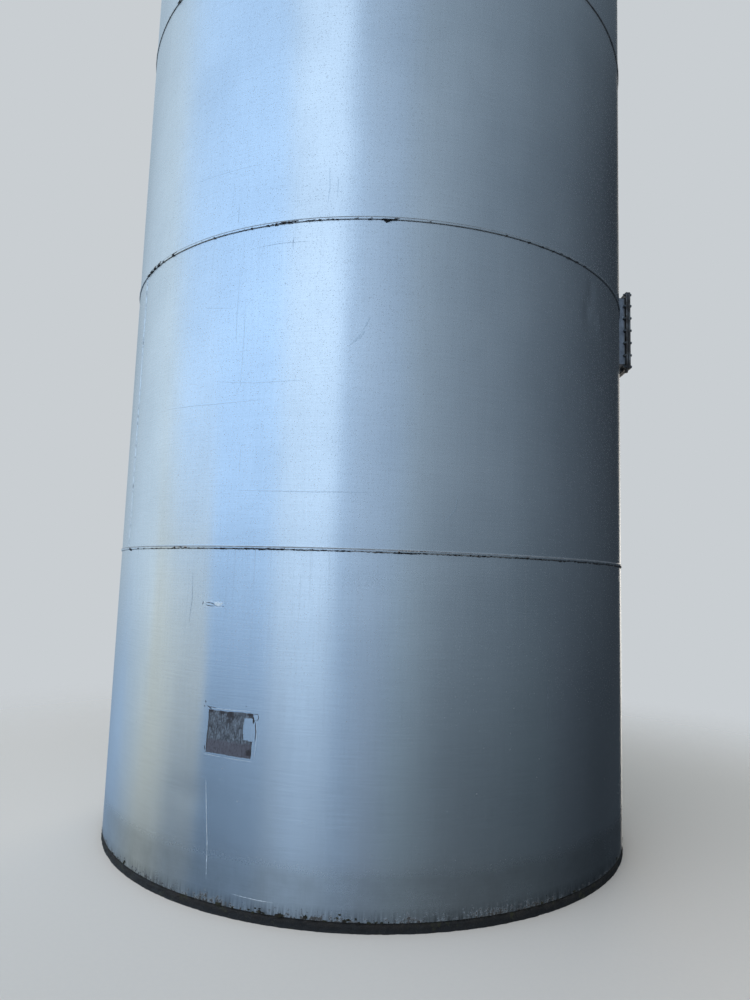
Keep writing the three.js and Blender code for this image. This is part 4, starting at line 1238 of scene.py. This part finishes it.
class SILO_OT_hopper(Operator):
    """Make the hopper cone and its outlet inside the skirt"""

    bl_idname = "silo.hopper"
    bl_label = "Hopper"

    def execute(self, context):
        outer = high("hopper_cone")[0]
        bottom, top = span("hopper_cone", 2)
        junction = top - 0.040
        slant = PLATE * math.sqrt(2)
        bore = SPOUT_RADIUS - slant
        profile = [(SPOUT_RADIUS, bottom), (outer, junction), (outer, top), (outer - PLATE, top),
                   (outer - PLATE, junction + slant - PLATE), (bore, bottom)]
        turned_plate("hopper.cone", profile, 0.0015, "plain_aluminium_plate", "hopper_cone")
        z0, z1 = span("outlet_spout", 2)
        flange, seat = 0.230, z0 + 0.012
        profile = [(bore, z0), (flange, z0), (flange, seat), (SPOUT_RADIUS, seat), (SPOUT_RADIUS, z1),
                   (bore, z1)]
        turned_plate("hopper.spout", profile, 0.0012, "brushed_welded_aluminium",
                     "outlet_spout", 120)
        bolt_circle("hopper.flange_bolts", nut_and_end(0.019), 8, 22.5, 0.200, seat, 1)
        # Welds down the cone between its four sheets, and round the cone's junction with the spout
        beads = []
        for azimuth in (20, 110, 200, 290):
            t = np.linspace(0.01, 0.985, 200)
            path = round_about(SPOUT_RADIUS + t * (outer - SPOUT_RADIUS), azimuth,
                               bottom + t * (junction - bottom))
            out = round_about(1.0, azimuth, -1.0) / math.sqrt(2)
            beads.append(skin(bead_along(path, out, 0.005 * bead_ripple(t * 2.3, azimuth, 0.03), 0.45)))
        azimuth = np.arange(0, 360, 3.0)
        path = round_about(SPOUT_RADIUS + 0.0005, azimuth, z1)
        beads.append(skin(bead_along(path, round_about(1.0, azimuth, 0.0), 0.005, 0.6), wrap_rows=True))
        placed("weld.hopper", beads, "aluminium_weld_metal")
        return {"FINISHED"}


class SILO_OT_roof(Operator):
    """Make the eave angle, the roof deck and its manway"""

    bl_idname = "silo.roof"
    bl_label = "Roof"

    def execute(self, context):
        lo, hi = span("eave_angle_ring", 2)
        reach = high("eave_angle_ring")[0]
        profile = [(reach - LEG, hi), (reach - LEG, hi - ROLLED), (reach - ROLLED, hi - ROLLED),
                   (reach - ROLLED, lo), (reach, lo), (reach, hi)]
        turned_plate("roof.eave_angle", profile, 0.002, "brushed_welded_aluminium",
                     "eave_angle_ring")

        rim, top = span("roof_deck", 2)
        thick = PLATE / math.cos(ROOF_SLOPE)
        hole = MANWAY_RADIUS + AIR
        knuckle = RADIUS - 0.060
        profile = [(knuckle, rim), (RADIUS, rim), (RADIUS, rim + thick), (knuckle, rim + thick), (hole, top),
                   (hole, top - thick)]
        turned_plate("roof.deck", profile, 0.0015, "plain_aluminium_plate", "roof_deck")

        # Welds down the deck between its twelve sheets, then round its rim and round the manway's neck
        beads = []
        t = np.linspace(0.0, 1.0, 180)
        for k in range(12):
            path = round_about(knuckle - 0.004 + t * (MANWAY_RADIUS + 0.012 - knuckle), 15 + 30 * k,
                               rim + thick + t * (top - rim - thick))
            out = round_about(math.sin(ROOF_SLOPE), 15 + 30 * k, math.cos(ROOF_SLOPE))
            beads.append(skin(bead_along(path, out, 0.006 * bead_ripple(t * 1.5, k, 0.02), 0.45)))
        azimuth = np.arange(0, 360, 0.75)
        for radius, z, half, lean in ((RADIUS - 0.002, rim + 0.0005, 0.005, 1.0),
                                      (MANWAY_RADIUS + 0.002, top, 0.006, 0.6)):
            out = round_about(lean, azimuth, math.sqrt(1 - lean * lean))
            bead = bead_along(round_about(radius, azimuth, z), out,
                              half * bead_ripple(azimuth * 0.03, 5, 0.02), 0.6)
            beads.append(skin(bead, wrap_rows=True))
        placed("weld.roof", beads, "aluminium_weld_metal")

        z0, z1 = span("manway_neck", 2)
        flange = high("manway_neck")[0]
        inner, seat = MANWAY_RADIUS - PLATE, z1 - ROLLED
        profile = [(inner, z0), (MANWAY_RADIUS, z0), (MANWAY_RADIUS, seat), (flange, seat), (flange, z1),
                   (inner, z1)]
        turned_plate("roof.manway_neck", profile, 0.0015, "brushed_welded_aluminium",
                     "manway_neck", 144)
        bottom, top = span("manway_lid", 2)
        outside = high("manway_lid")[0]
        inside, under = outside - PLATE, bottom + 0.025
        profile = [(0, under), (inside, under), (inside, bottom), (outside, bottom), (outside, top), (0, top)]
        turned_plate("roof.manway_lid", profile, 0.003, "plain_aluminium_plate", "manway_lid",
                     144)
        count = sizes_of().manway_bolts
        bolt_circle("roof.manway_bolts", bolt_head(0.016), count, 0, flange - 0.017, top, 0.9)
        return {"FINISHED"}


class SILO_OT_hatch(Operator):
    """Make the bolted side hatch: neck, gasket, frame, pan and weld"""

    bl_idname = "silo.hatch"
    bl_label = "Side hatch"

    def execute(self, context):
        inner_x, gasket_x = low("hatch_neck")[0], low("hatch_gasket")[0]
        frame_x, face_x = span("hatch_frame", 0)
        wall, soft, corner = 0.0095, 0.0015, 0.010
        bore = soft - wall
        sections = grown(HATCH_NECK, (
            (inner_x, -soft, corner), (inner_x + soft, 0, corner), (HATCH_BACK - 0.006, 0, corner),
            (HATCH_BACK - 0.002, 0.002, corner), (HATCH_BACK, 0.006, corner)))
        sections += grown(HATCH_FLANGE, (
            (HATCH_BACK, -soft, 0.004), (HATCH_BACK + soft, 0, 0.004), (gasket_x - soft, 0, 0.004),
            (gasket_x, -soft, 0.004)))
        sections += grown(HATCH_NECK, (
            (gasket_x, bore, corner), (gasket_x - soft, -wall, corner), (inner_x + soft, -wall, corner),
            (inner_x, bore, corner)))
        neck = [rectangle_loft(sections, HATCH_Z, "+X")]
        # Lug under the lower front corner, hung on the back flange
        lug = grown((0.029, 0.028), ((HATCH_BACK, 0, 0.004), (HATCH_BACK + 0.0008, 0.0005, 0.004),
                                     (gasket_x - 0.0008, 0.0005, 0.004), (gasket_x, 0, 0.004)))
        lug = rectangle_loft(lug, HATCH_Z - HATCH_FLANGE[1] / 2 - 0.0135, "+X", closed=False)
        neck.append(shifted(lug, (0, 0.015 - HATCH_FLANGE[0] / 2, 0)))
        placed("hatch.neck", neck, "hatch_plate_painted_shade", stands_for=("hatch_neck",))

        gasket = ring_sections((0.5145, 0.6085), HATCH_WINDOW, gasket_x + 0.0001, frame_x - 0.0001, 0.004,
                               0.006, 0.0008)
        clamp = ring_sections(HATCH_FLANGE, HATCH_WINDOW, frame_x, face_x, 0.006, 0.012, 0.0018)
        placed("hatch.gasket", [rectangle_loft(gasket, HATCH_Z, "+X")], "greyed_epdm_rubber",
               stands_for=("hatch_gasket",))
        placed("hatch.frame", [rectangle_loft(clamp, HATCH_Z, "+X")], "hatch_plate_painted_shade",
               stands_for=("hatch_frame",))

        back, rim = span("hatch_panel", 0)
        # The pan's inside from its middle to the rim, then its outside back to the middle
        sections = [(depth, grow - AIR, 0.012) for depth, grow in (
            (back + 0.005, -0.012), (back + 0.0065, -0.006), (back + 0.012, -0.004), (rim - 0.001, -0.004),
            (rim, -0.003), (rim, -0.001), (rim - 0.001, 0), (back + 0.008, 0), (back + 0.002, -0.002),
            (back, -0.008))]
        pan = rectangle_loft([(back + 0.005, 0.02, 0.02, 0.004), *grown(HATCH_WINDOW, sections),
                              (back, 0.02, 0.02, 0.004)], HATCH_Z, "+X", closed=False)
        placed("hatch.pan", [pan], "plain_aluminium_plate", stands_for=("hatch_panel",))
        neck_weld("weld.hatch_neck", HATCH_NECK, HATCH_Z, "+X", corner, 8, 0.006, 0.0062, (3, 0.012))
        return {"FINISHED"}


class SILO_OT_hatch_bolts(Operator):
    """Set the hatch's bolts, nuts and washers"""

    bl_idname = "silo.hatch_bolts"
    bl_label = "Hatch bolts"

    def execute(self, context):
        """Six across the top and the bottom and five more up each side, on one rectangle of bolt centres."""
        face_x = high("hatch_frame")[0]
        flats = sizes_of().hatch_bolt
        wide, tall = 0.245, 0.286
        centres = [(y, z) for z in (-tall, tall) for y in np.linspace(-wide, wide, 6)]
        centres += [(y, z) for y in (-wide, wide) for z in (-0.196, -0.098, 0.0, 0.098, 0.196)]
        rng = np.random.default_rng(4)
        parts = []
        for y, z in centres:
            twist = rng.uniform(0, 2 * math.pi, 2)
            parts += stood(bolt_head(flats), (face_x, y, HATCH_Z + z), (1, 0, 0), twist[0])
            parts += stood(nut_and_end(flats), (HATCH_BACK, y, HATCH_Z + z), (-1, 0, 0), twist[1])
        placed("hatch.bolts", parts, "dulled_and_shaded_galvanised_steel", sharp=28)
        return {"FINISHED"}


class SILO_OT_door_frame(Operator):
    """Make the skirt door's frame and its weld"""

    bl_idname = "silo.door_frame"
    bl_label = "Door frame"

    def execute(self, context):
        face = high("door_frame")[1]
        inner_y = low("door_frame")[1]
        leaf_back = low("door_leaf")[1]
        margin, thick, wall, stop, soft = 0.036, 0.012, 0.010, 0.020, 0.0015
        seat, stop_front = face - thick, leaf_back - 0.005
        bore, stop_edge = soft - wall, -wall - stop
        sections = grown(DOOR_NECK, (
            (inner_y, -soft, 0.004), (inner_y + soft, 0, 0.004), (seat - 0.004, 0, 0.004),
            (seat, 0.004, 0.004), (seat, margin - soft, 0.006), (seat + soft, margin, 0.006),
            (face - soft, margin, 0.006), (face, margin - soft, 0.006), (face, bore, 0.004),
            (face - soft, -wall, 0.004), (stop_front, -wall, 0.004), (stop_front, stop_edge + soft, 0.003),
            (stop_front - soft, stop_edge, 0.003), (stop_front - 0.012, stop_edge, 0.003),
            (stop_front - 0.012, -wall, 0.004), (inner_y + soft, -wall, 0.004), (inner_y, bore, 0.004)))
        placed("door.frame", [rectangle_loft(sections, DOOR_Z, "+Y")], "brushed_welded_aluminium",
               stands_for=("door_frame",))
        neck_weld("weld.door_frame", DOOR_NECK, DOOR_Z, "+Y", 0.004, 6, 0.010, 0.006, (8, 0.02))
        return {"FINISHED"}


class SILO_OT_door_leaf(Operator):
    """Make the skirt door's leaf, a pressed pan with a rail across its back"""

    bl_idname = "silo.door_leaf"
    bl_label = "Door leaf"

    def execute(self, context):
        back, face = span("door_leaf", 1)
        w = high("door_leaf")[0]
        size = (2 * w, high("door_leaf")[2] - low("door_leaf")[2])
        edge, sheet, inset, press = 0.003, 0.006, 0.075, 0.004
        floor, under = face - press, face - sheet - press
        # The pressed front from its middle to the edge, then the folded rim and the inside
        sections = grown(size, (
            (floor, -inset - 0.020, 0.014), (floor, -inset - 0.012, 0.020),
            (face - press / 2, -inset - 0.006, 0.024), (face, -inset, 0.028), (face, 0.006 - inset, 0.030),
            (face, -edge - 0.006, 0.006), (face, -edge, 0.006), (face - edge * 0.4, -edge * 0.4, 0.006),
            (face - edge, 0, 0.006), (back + 0.001, 0, 0.006), (back, -0.001, 0.006),
            (back, 0.001 - sheet, 0.003), (back + 0.001, -sheet, 0.003), (under, -sheet, 0.003)))
        middle = (0.02, 0.02, 0.004)
        rail = [(back, w - 0.008, 0.0285, 0.002), (back + 0.0015, w - 0.0065, 0.030, 0.002),
                (under + 0.001, w - 0.0065, 0.030, 0.002)]
        parts = [rectangle_loft(rings, DOOR_Z, "+Y", closed=False)
                 for rings in ([(floor, *middle), *sections, (under, *middle)], rail)]
        placed("door.leaf", parts, "plain_aluminium_plate", body=DOOR,
               stands_for=("door_leaf",))
        return {"FINISHED"}


class SILO_OT_door_hardware(Operator):
    """Make the skirt door's hinges, latch and screws"""

    bl_idname = "silo.door_hardware"
    bl_label = "Door hardware"

    def execute(self, context):
        steel = "dulled_and_shaded_galvanised_steel"
        axis_x = frame["joints"][0]["pos_m"][0]
        face = high("door_frame")[1] + 0.005
        screws = {SILO: [], DOOR: []}
        for k in (1, 2, 3):
            for half, body, sign in (("frame", SILO, 1), ("leaf", DOOR, -1)):
                source = f"door_hinge_{k}_{half}_half"
                softened_copy(source, f"hinge.{k}_{half}_half", 0.0009, steel, body)
                middle = sum(span(source, 2)) / 2
                # The leaf's half has no middle screw
                for rise in (-0.040, 0.0, 0.040) if half == "frame" else (-0.040, 0.040):
                    place = (axis_x + sign * (0.030 if rise else 0.034), face, middle + rise)
                    screws[body] += stood([disc(0.0052, -0.0003, 0.0034, 20, 0.5)], place, (0, 1, 0), 0.0)
        softened_copy("door_latch", "latch.lever", 0.0015, steel, DOOR)
        lo, hi = low("door_latch"), high("door_latch")
        for rise in (-0.072, 0.072):
            for side in (-0.014, 0.014):
                place = (lo[0] + 0.025 + side, high("door_leaf")[1] + 0.008, (lo[2] + hi[2]) / 2 + rise)
                screws[DOOR] += stood([disc(0.0048, -0.0003, 0.003, 20, 0.5)], place, (0, 1, 0), 0.0)
        placed("hinge.frame_screws", screws[SILO], steel)
        placed("hinge.leaf_screws", screws[DOOR], steel, body=DOOR)
        return {"FINISHED"}


class SILO_OT_lifting_lugs(Operator):
    """Make the lifting lugs and their fillet welds"""

    bl_idname = "silo.lifting_lugs"
    bl_label = "Lifting lugs"

    def execute(self, context):
        foot = EAVE - 0.240
        half = math.degrees(0.076 / RADIUS)
        beads = []
        for k, azimuth in enumerate(LUG_AZIMUTHS):
            softened_copy(f"lifting_lug_{k + 1}", f"lug.{k + 1}", 0.002, "brushed_welded_aluminium")
            for side in (-half, half):
                height = np.arange(foot, EAVE - 0.004, 0.006)
                path = round_about(RADIUS + 0.001, azimuth + side, height)
                out = round_about(1.0, azimuth + side * 2.0, 0.0)
                beads.append(skin(bead_along(path, out, 0.006 * bead_ripple(height, k, 0.012), 0.7)))
            sweep = azimuth + np.linspace(-half, half, 30)
            path = round_about(RADIUS + 0.001, sweep, foot - 0.001)
            beads.append(skin(bead_along(path, round_about(0.7, sweep, -0.7), 0.006, 0.7)))
        placed("weld.lifting_lugs", beads, "aluminium_weld_metal")
        return {"FINISHED"}


# Marks on the shell: routes of azimuths in degrees and heights in metres, and half-widths
DRIED_RUNS = (
    (((-18.0, 0.99), (-17.95, 0.90), (-18.2, 0.80)), 0.0006), (((-18.6, 0.779), (-24.0, 0.782)), 0.0007),
    (((-24.3, 0.782), (-28.2, 0.786)), 0.0006), (((-27.6, 1.026), (-23.0, 1.029), (-19.2, 1.032)), 0.0007),
    (((-27.3, 0.66), (-26.9, 0.52), (-26.3, 0.34), (-26.1, 0.16)), 0.0017),
    (((-21.2, 0.118), (-17.5, 0.112), (-13.6, 0.110)), 0.0012),
    (((-29.9, 1.592), (-27.6, 1.593), (-25.2, 1.594)), 0.0007), (((-29.9, 1.583), (-29.6, 1.586)), 0.0030),
    (((-30.0, 1.562), (-27.6, 1.561), (-25.4, 1.564)), 0.0007), (((-26.5, 1.569), (-26.1, 1.567)), 0.0024),
)
GLUE_THREADS = (
    (((-18.8, 1.020), (-17.9, 1.022), (-17.7, 1.004), (-18.0, 0.987), (-18.5, 0.992)), 0.0015),
    (((-18.7, 1.008), (-18.6, 0.992), (-18.6, 0.970)), 0.0050),
    (((-18.3, 0.984), (-18.1, 0.930), (-18.2, 0.880)), 0.0028), (((-28.3, 1.062), (-28.2, 1.052)), 0.0036),
    (((-28.5, 1.036), (-28.3, 1.028)), 0.0030), (((-27.9, 1.036), (-27.5, 1.032), (-26.8, 1.019)), 0.0030),
    (((-27.7, 1.030), (-26.9, 1.032), (-25.9, 1.030)), 0.0016), (((-27.9, 0.806), (-28.0, 0.830)), 0.0030),
    (((-20.2, 1.058), (-20.0, 1.056)), 0.0022), (((-30.25, 1.570), (-30.15, 1.580), (-30.0, 1.589)), 0.0034),
    (((-29.6, 1.577), (-29.3, 1.584), (-28.9, 1.585), (-28.2, 1.582), (-27.6, 1.576), (-27.2, 1.568),
      (-26.6, 1.566)), 0.0021),
    (((-29.5, 1.575), (-29.2, 1.569), (-28.4, 1.567), (-27.5, 1.567)), 0.0021),
    (((-25.4, 1.589), (-25.3, 1.580)), 0.0012), (((-25.5, 1.570), (-25.9, 1.566)), 0.0014),
)
SCRATCHES = (
    (((-32.95, 1.742), (-32.75, 1.604), (-33.2, 1.468), (-33.05, 1.463)), 0.0018),
    (((-22.7, 3.590), (-18.0, 3.596), (-12.5, 3.592)), 0.0013),
    (((-27.0, 3.875), (-27.05, 3.81), (-26.9, 3.751)), 0.0012),
    (((-15.5, 3.63), (-15.6, 3.58), (-15.5, 3.55)), 0.0016),
    (((33.0, 1.20), (33.3, 1.05), (33.1, 0.96)), 0.0014),
    (((140.0, 1.9), (144.0, 1.84), (150.0, 1.82)), 0.0018),
    (((-120.0, 1.30), (-121.0, 1.12), (-121.2, 1.0)), 0.002),
)
SCUFFS = (
    (((-1.3, 3.16), (-2.1, 3.11), (-2.9, 3.06)), 0.0055),
    (((-2.2, 3.075), (-3.1, 3.035), (-4.0, 3.028)), 0.0085),
    (((-2.9, 3.06), (-3.8, 3.02), (-4.9, 2.99)), 0.0050),
    (((-34.0, 3.29), (-30.5, 3.27), (-26.7, 3.252)), 0.0022),
    (((-40.0, 4.12), (-31.0, 4.10), (-22.0, 4.095)), 0.0022),
    (((-30.0, 2.83), (-22.0, 2.80), (-12.0, 2.80)), 0.0022),
    (((-44.0, 2.72), (-30.0, 2.70), (-20.0, 2.70)), 0.0020),
    (((-24.0, 2.20), (-10.0, 2.19), (0.0, 2.195)), 0.0022),
    (((-26.0, 3.45), (-26.2, 3.20), (-26.0, 3.02)), 0.0030),
    (((-24.5, 3.30), (-24.4, 3.10), (-24.6, 2.78)), 0.0028), (((-23.8, 2.45), (-23.9, 2.28)), 0.0022),
    (((12.0, 2.05), (14.0, 2.12), (14.4, 2.20)), 0.0022),
    (((-9.5, 4.02), (-9.3, 3.90), (-9.6, 3.80)), 0.0022), (((-7.8, 3.96), (-7.9, 3.84)), 0.0018),
    (((80.0, 1.4), (95.0, 1.36), (104.0, 1.37)), 0.0026), (((-95.0, 2.6), (-80.0, 2.58)), 0.0026),
)


class SILO_OT_marks(Operator):
    """Put on the glue residue, the scrap of label film, the dried run and the scratches"""

    bl_idname = "silo.marks"
    bl_label = "Marks"

    def execute(self, context):
        film("mark.placard_glue", ((-27.7, 0.798), (-18.8, 0.794), (-18.75, 1.022), (-27.4, 1.018)), 0.0011,
             "placard_glue_residue", 0.004, 5, 72,
             lambda u, v: (u > 0.81 + 0.012 * np.sin(17 * v)) & (v > 0.39 - 0.12 * (u - 0.9)) & (v < 0.885))
        film("mark.label_scrap", ((-27.4, 1.571), (-26.3, 1.566), (-25.7, 1.588), (-27.7, 1.589)), 0.0006,
             "chalked_vinyl_and_lime", 0.05, 9, 24)
        ribbons("mark.dried_runs", DRIED_RUNS, "chalked_vinyl_and_lime", 3)
        ribbons("mark.glue_threads", GLUE_THREADS, "dried_contact_glue", 80)
        ribbons("mark.scratches", SCRATCHES, "scored_aluminium", 20)
        ribbons("mark.scuffs", SCUFFS, "rubbed_aluminium", 50)
        return {"FINISHED"}


class SILO_OT_soil(Operator):
    """Throw clumps of soil and moss against the shell's foot"""

    bl_idname = "silo.soil"
    bl_label = "Soil"

    def execute(self, context):
        """Each clump is a sphere of rings, squashed against the plate, its radius times 1 + lumps. The clumps
        gather in drifts, thin out upwards and leave the door clear."""
        rng = np.random.default_rng(21)
        rings, spokes = 6, 10
        up = np.array([0.0, 0.0, 1.0])
        polar = np.linspace(0.12, math.pi - 0.12, rings)[:, None]
        turn = (np.arange(spokes) * 2 * math.pi / spokes)[None]
        drifts = rng.uniform(0, 360, 26)
        parts = []
        for _ in range(sizes_of().clumps):
            azimuth = (rng.choice(drifts) + rng.normal(0, 3.5)) % 360
            height = GROUT_TOP - 0.004 + rng.exponential(0.011)
            size = rng.uniform(0.0025, 0.0085) * (1.0 if height < 0.07 else 0.55)
            lumps = 1 + 0.3 * rng.standard_normal((rings, spokes))
            wide, tall = rng.uniform(0.9, 2.0), rng.uniform(0.6, 1.0)
            if abs(azimuth - 180) < 18 or height > 0.15:
                continue
            outward, around = round_about(1.0, azimuth, 0.0), round_about(1.0, azimuth + 90, 0.0)
            grid = (outward * (RADIUS + 0.0006) + up * height
                    + (np.sin(polar) * np.cos(turn) * lumps * size * wide)[..., None] * around
                    - (np.sin(polar) * np.sin(turn) * lumps * size * 0.5)[..., None] * outward
                    + (np.cos(polar) * lumps * size * tall)[..., None] * up)
            parts.append(skin(grid))
        placed("soil.clumps", parts, "splashed_soil_and_moss", sharp=70)
        return {"FINISHED"}


def surrounding_light(add, colours, studio):
    """Soft light all round: a bright cove on the left that falls off to slate on the right, dim low down,
    pale straight below as from the floor, and sky blue overhead, with panels in front of it. A panel is a
    colour times a step in azimuth and a step in height above the horizon, both soft. The camera sees the
    plain backdrop instead."""
    way = add("TexCoord", out="Generated")
    along, depth, up = (add("SeparateXYZ", way, out=axis) for axis in "XYZ")
    azimuth = add("Math", along, add("Math", depth, -1.0, operation="MULTIPLY"), operation="ARCTAN2")
    azimuth = add("Math", azimuth, 180 / math.pi, operation="MULTIPLY")
    height = add("Math", add("Math", up, operation="ARCSINE"), 180 / math.pi, operation="MULTIPLY")
    share = add("MapRange", azimuth, -180.0, 180.0)
    upper, lower, ground = (add("ValToRGB", share, ramp=cove(stops))
                            for stops in (UPPER_COVE, LOWER_COVE, GROUND))
    colour = add("Mix", add("MapRange", height, -10.0, 1.0), lower, upper)
    colour = add("Mix", add("MapRange", height, -24.0, -12.0), ground, colour)
    below = add("MapRange", height, -52.0, -32.0, 1.0, 0.0)
    colour = add("Mix", below, colour, linear("#989A9C"))
    colour = add("Mix", add("MapRange", height, 30.0, 70.0), colour, linear("#9BAFBF"))
    for centre, half, soft, floor, ceiling, strength, tint in PANELS:
        turned_off = add("Math", azimuth, centre, operation="SUBTRACT")
        turned_off = add("Math", turned_off, 180.0, -180.0, operation="WRAP")
        turned_off = add("Math", turned_off, operation="ABSOLUTE")
        shape = add("MapRange", turned_off, half, half + soft, 1.0, 0.0, interpolation_type="SMOOTHSTEP")
        for edge, sign in ((floor, 1), (ceiling, -1)):
            rise = add("MapRange", height, edge - 3.0 * sign, edge + 3.0 * sign,
                       interpolation_type="SMOOTHSTEP")
            shape = add("Math", shape, rise, operation="MULTIPLY")
        panel = tuple(np.array(linear(tint)) * strength)
        colour = add("Mix", shape, colour, panel)
    seen = add("LightPath", out="Is Camera Ray")
    colour = add("Mix", seen, colour, tuple(colours.backdrop))
    return add("Background", colour, studio.light)


def cove(stops):
    """Ramp stops from azimuths in degrees, brightnesses and tints."""
    return [((azimuth + 180) / 360, tuple(np.array(linear(tint)) * light)) for azimuth, light, tint in stops]


SKY, AZURE, PALE, HAZE = "#B7D9FF", "#A4D1FF", "#CFE4F5", "#B3CCE8"
SLATE, TEAL, WARM = "#A9BDD1", "#A0BCCB", "#E6EDE6"
# The cove above the horizon, under it, and the ground: azimuth in degrees, brightness and tint
UPPER_COVE = (
    (-180, 1.45, PALE), (-168, 1.05, PALE), (-152, 0.62, PALE), (-122, 1.14, PALE), (-104, 1.36, PALE),
    (-90, 1.62, SKY), (-64, 1.76, SKY), (-45, 1.80, SKY), (-34, 1.78, SKY), (-6, 1.38, HAZE),
    (6, 1.15, HAZE), (18, 1.10, SLATE), (26, 0.94, SLATE), (45, 0.66, SLATE), (60, 0.54, SLATE),
    (70, 0.43, SLATE), (83, 0.35, SLATE), (108, 0.20, SLATE), (136, 0.10, SLATE), (150, 0.09, SLATE),
    (158, 0.60, PALE), (172, 1.55, PALE), (180, 1.45, PALE),
)
LOWER_COVE = (
    (-180, 1.20, PALE), (-168, 0.85, PALE), (-152, 0.52, SKY), (-131, 0.76, SKY), (-118, 0.84, PALE),
    (-106, 0.94, WARM), (-95, 0.96, WARM), (-84, 0.34, AZURE), (-64, 0.08, AZURE), (-51, 0.17, SKY),
    (-40, 0.31, SKY), (-31, 0.68, SKY), (-25, 0.84, SKY), (-19, 0.71, SKY), (-10, 0.66, SKY),
    (2, 0.67, HAZE), (11, 0.71, TEAL), (22, 0.44, TEAL), (32, 0.275, TEAL), (46, 0.26, TEAL),
    (58, 0.235, TEAL), (72, 0.215, TEAL), (90, 0.15, SLATE), (110, 0.095, SLATE), (150, 0.09, SLATE),
    (160, 0.50, PALE), (172, 1.35, PALE), (180, 1.20, PALE),
)
GROUND = (
    (-180, 0.22, PALE), (-152, 0.18, PALE), (-122, 0.22, PALE), (-87, 0.14, SKY), (-60, 0.11, SKY),
    (-45, 0.13, SKY), (-27, 0.24, SKY), (-10, 0.17, SKY), (10, 0.15, SLATE), (30, 0.08, SLATE),
    (50, 0.065, SLATE), (70, 0.07, SLATE), (110, 0.05, SLATE), (150, 0.06, SLATE), (165, 0.22, PALE),
    (180, 0.22, PALE),
)
# Azimuth, half-width, softness, lowest and highest height in degrees, brightness and tint
PANELS = ((-28, 8, 10, -6, 60, 1.72, "#C9E2FC"), (-87.5, 14.5, 5.0, -12, 4, 1.0, WARM),
          (163.5, 10, 1.5, -30, 60, 1.80, "#F0EAE0"))


class SILO_OT_stage(Operator):
    """Set up the floor, the studio light and the camera"""

    bl_idname = "silo.stage"
    bl_label = "Stage"

    def execute(self, context):
        scene = context.scene
        studio = scene.silo_studio
        scene.view_settings.view_transform = "Standard"
        scene.view_settings.look = "None"

        steps = 96
        turn = np.arange(steps) * 2 * math.pi / steps
        rim = (FLOOR_FADE[1] + 0.2) * np.stack([np.cos(turn), np.sin(turn), np.zeros(steps)], -1)
        mesh = bpy.data.meshes.new("studio_floor")
        mesh.from_pydata(rim - np.array([0, 0, 0.0005]), [], [list(range(steps))])
        mesh.update()
        floor = bpy.data.objects.new("studio_floor", mesh)
        mesh.materials.append(finish("pale_studio_floor"))
        scene.collection.objects.link(floor)
        floor.visible_glossy = False

        world = bpy.data.worlds.new("studio")
        scene.world = world
        world.use_nodes = True
        world.node_tree.nodes.clear()
        add = partial(node, world.node_tree)
        add("OutputWorld", surrounding_light(add, scene.silo_colours, studio))

        lamp = bpy.data.lights.new("softbox", "SUN")
        lamp.angle = math.radians(75)
        lamp.energy = studio.softbox
        lamp.color = linear("#FFF6EC")
        box = bpy.data.objects.new("softbox", lamp)
        box.matrix_world = (Matrix.Rotation(math.radians(-22), 4, "Y")
                            @ Matrix.Rotation(math.radians(28), 4, "X"))
        box.visible_glossy = False
        scene.collection.objects.link(box)

        view = bpy.data.cameras.new("camera")
        view.lens = studio.lens
        view.sensor_width = 36.0
        camera = bpy.data.objects.new("camera", view)
        camera.matrix_world = (Matrix.Translation(EYE) @ Matrix.Rotation(math.pi / 2 + studio.pitch, 4, "X")
                               @ Matrix.Rotation(studio.roll, 4, "Z"))
        scene.collection.objects.link(camera)
        scene.camera = camera
        return {"FINISHED"}


OPERATORS = (
    SILO_OT_shell_plates, SILO_OT_upright_welds, SILO_OT_lap_sealant, SILO_OT_base, SILO_OT_hopper,
    SILO_OT_roof, SILO_OT_hatch, SILO_OT_hatch_bolts, SILO_OT_door_frame, SILO_OT_door_leaf,
    SILO_OT_door_hardware, SILO_OT_lifting_lugs, SILO_OT_marks, SILO_OT_soil, SILO_OT_stage,
)


class SILO_PT_looks(Panel):
    """Sizes, colours and the pieces in the order they are made"""

    bl_idname = "SILO_PT_looks"
    bl_label = "Silo"
    bl_space_type = "VIEW_3D"
    bl_region_type = "UI"
    bl_category = "Silo"

    def draw(self, context):
        layout = self.layout
        for group in (context.scene.silo_sizes, context.scene.silo_colours, context.scene.silo_studio):
            column = layout.column(align=True)
            for name in group.bl_rna.properties.keys():
                if name not in ("rna_type", "name"):
                    column.prop(group, name)
        column = layout.column(align=True)
        for made in OPERATORS:
            column.operator(made.bl_idname)


GROUPS = (SiloColours, SiloSizes, SiloStudio)


def register():
    for made in (*GROUPS, *OPERATORS, SILO_PT_looks):
        bpy.utils.register_class(made)
    bpy.types.Scene.silo_colours = PointerProperty(type=SiloColours)
    bpy.types.Scene.silo_sizes = PointerProperty(type=SiloSizes)
    bpy.types.Scene.silo_studio = PointerProperty(type=SiloStudio)


def unregister():
    for name in ("silo_colours", "silo_sizes", "silo_studio"):
        delattr(bpy.types.Scene, name)
    for made in reversed((*GROUPS, *OPERATORS, SILO_PT_looks)):
        bpy.utils.unregister_class(made)


def main():
    register()
    for made in OPERATORS:
        group, name = made.bl_idname.split(".")
        getattr(getattr(bpy.ops, group), name)()


if __name__ == "__main__":
    main()
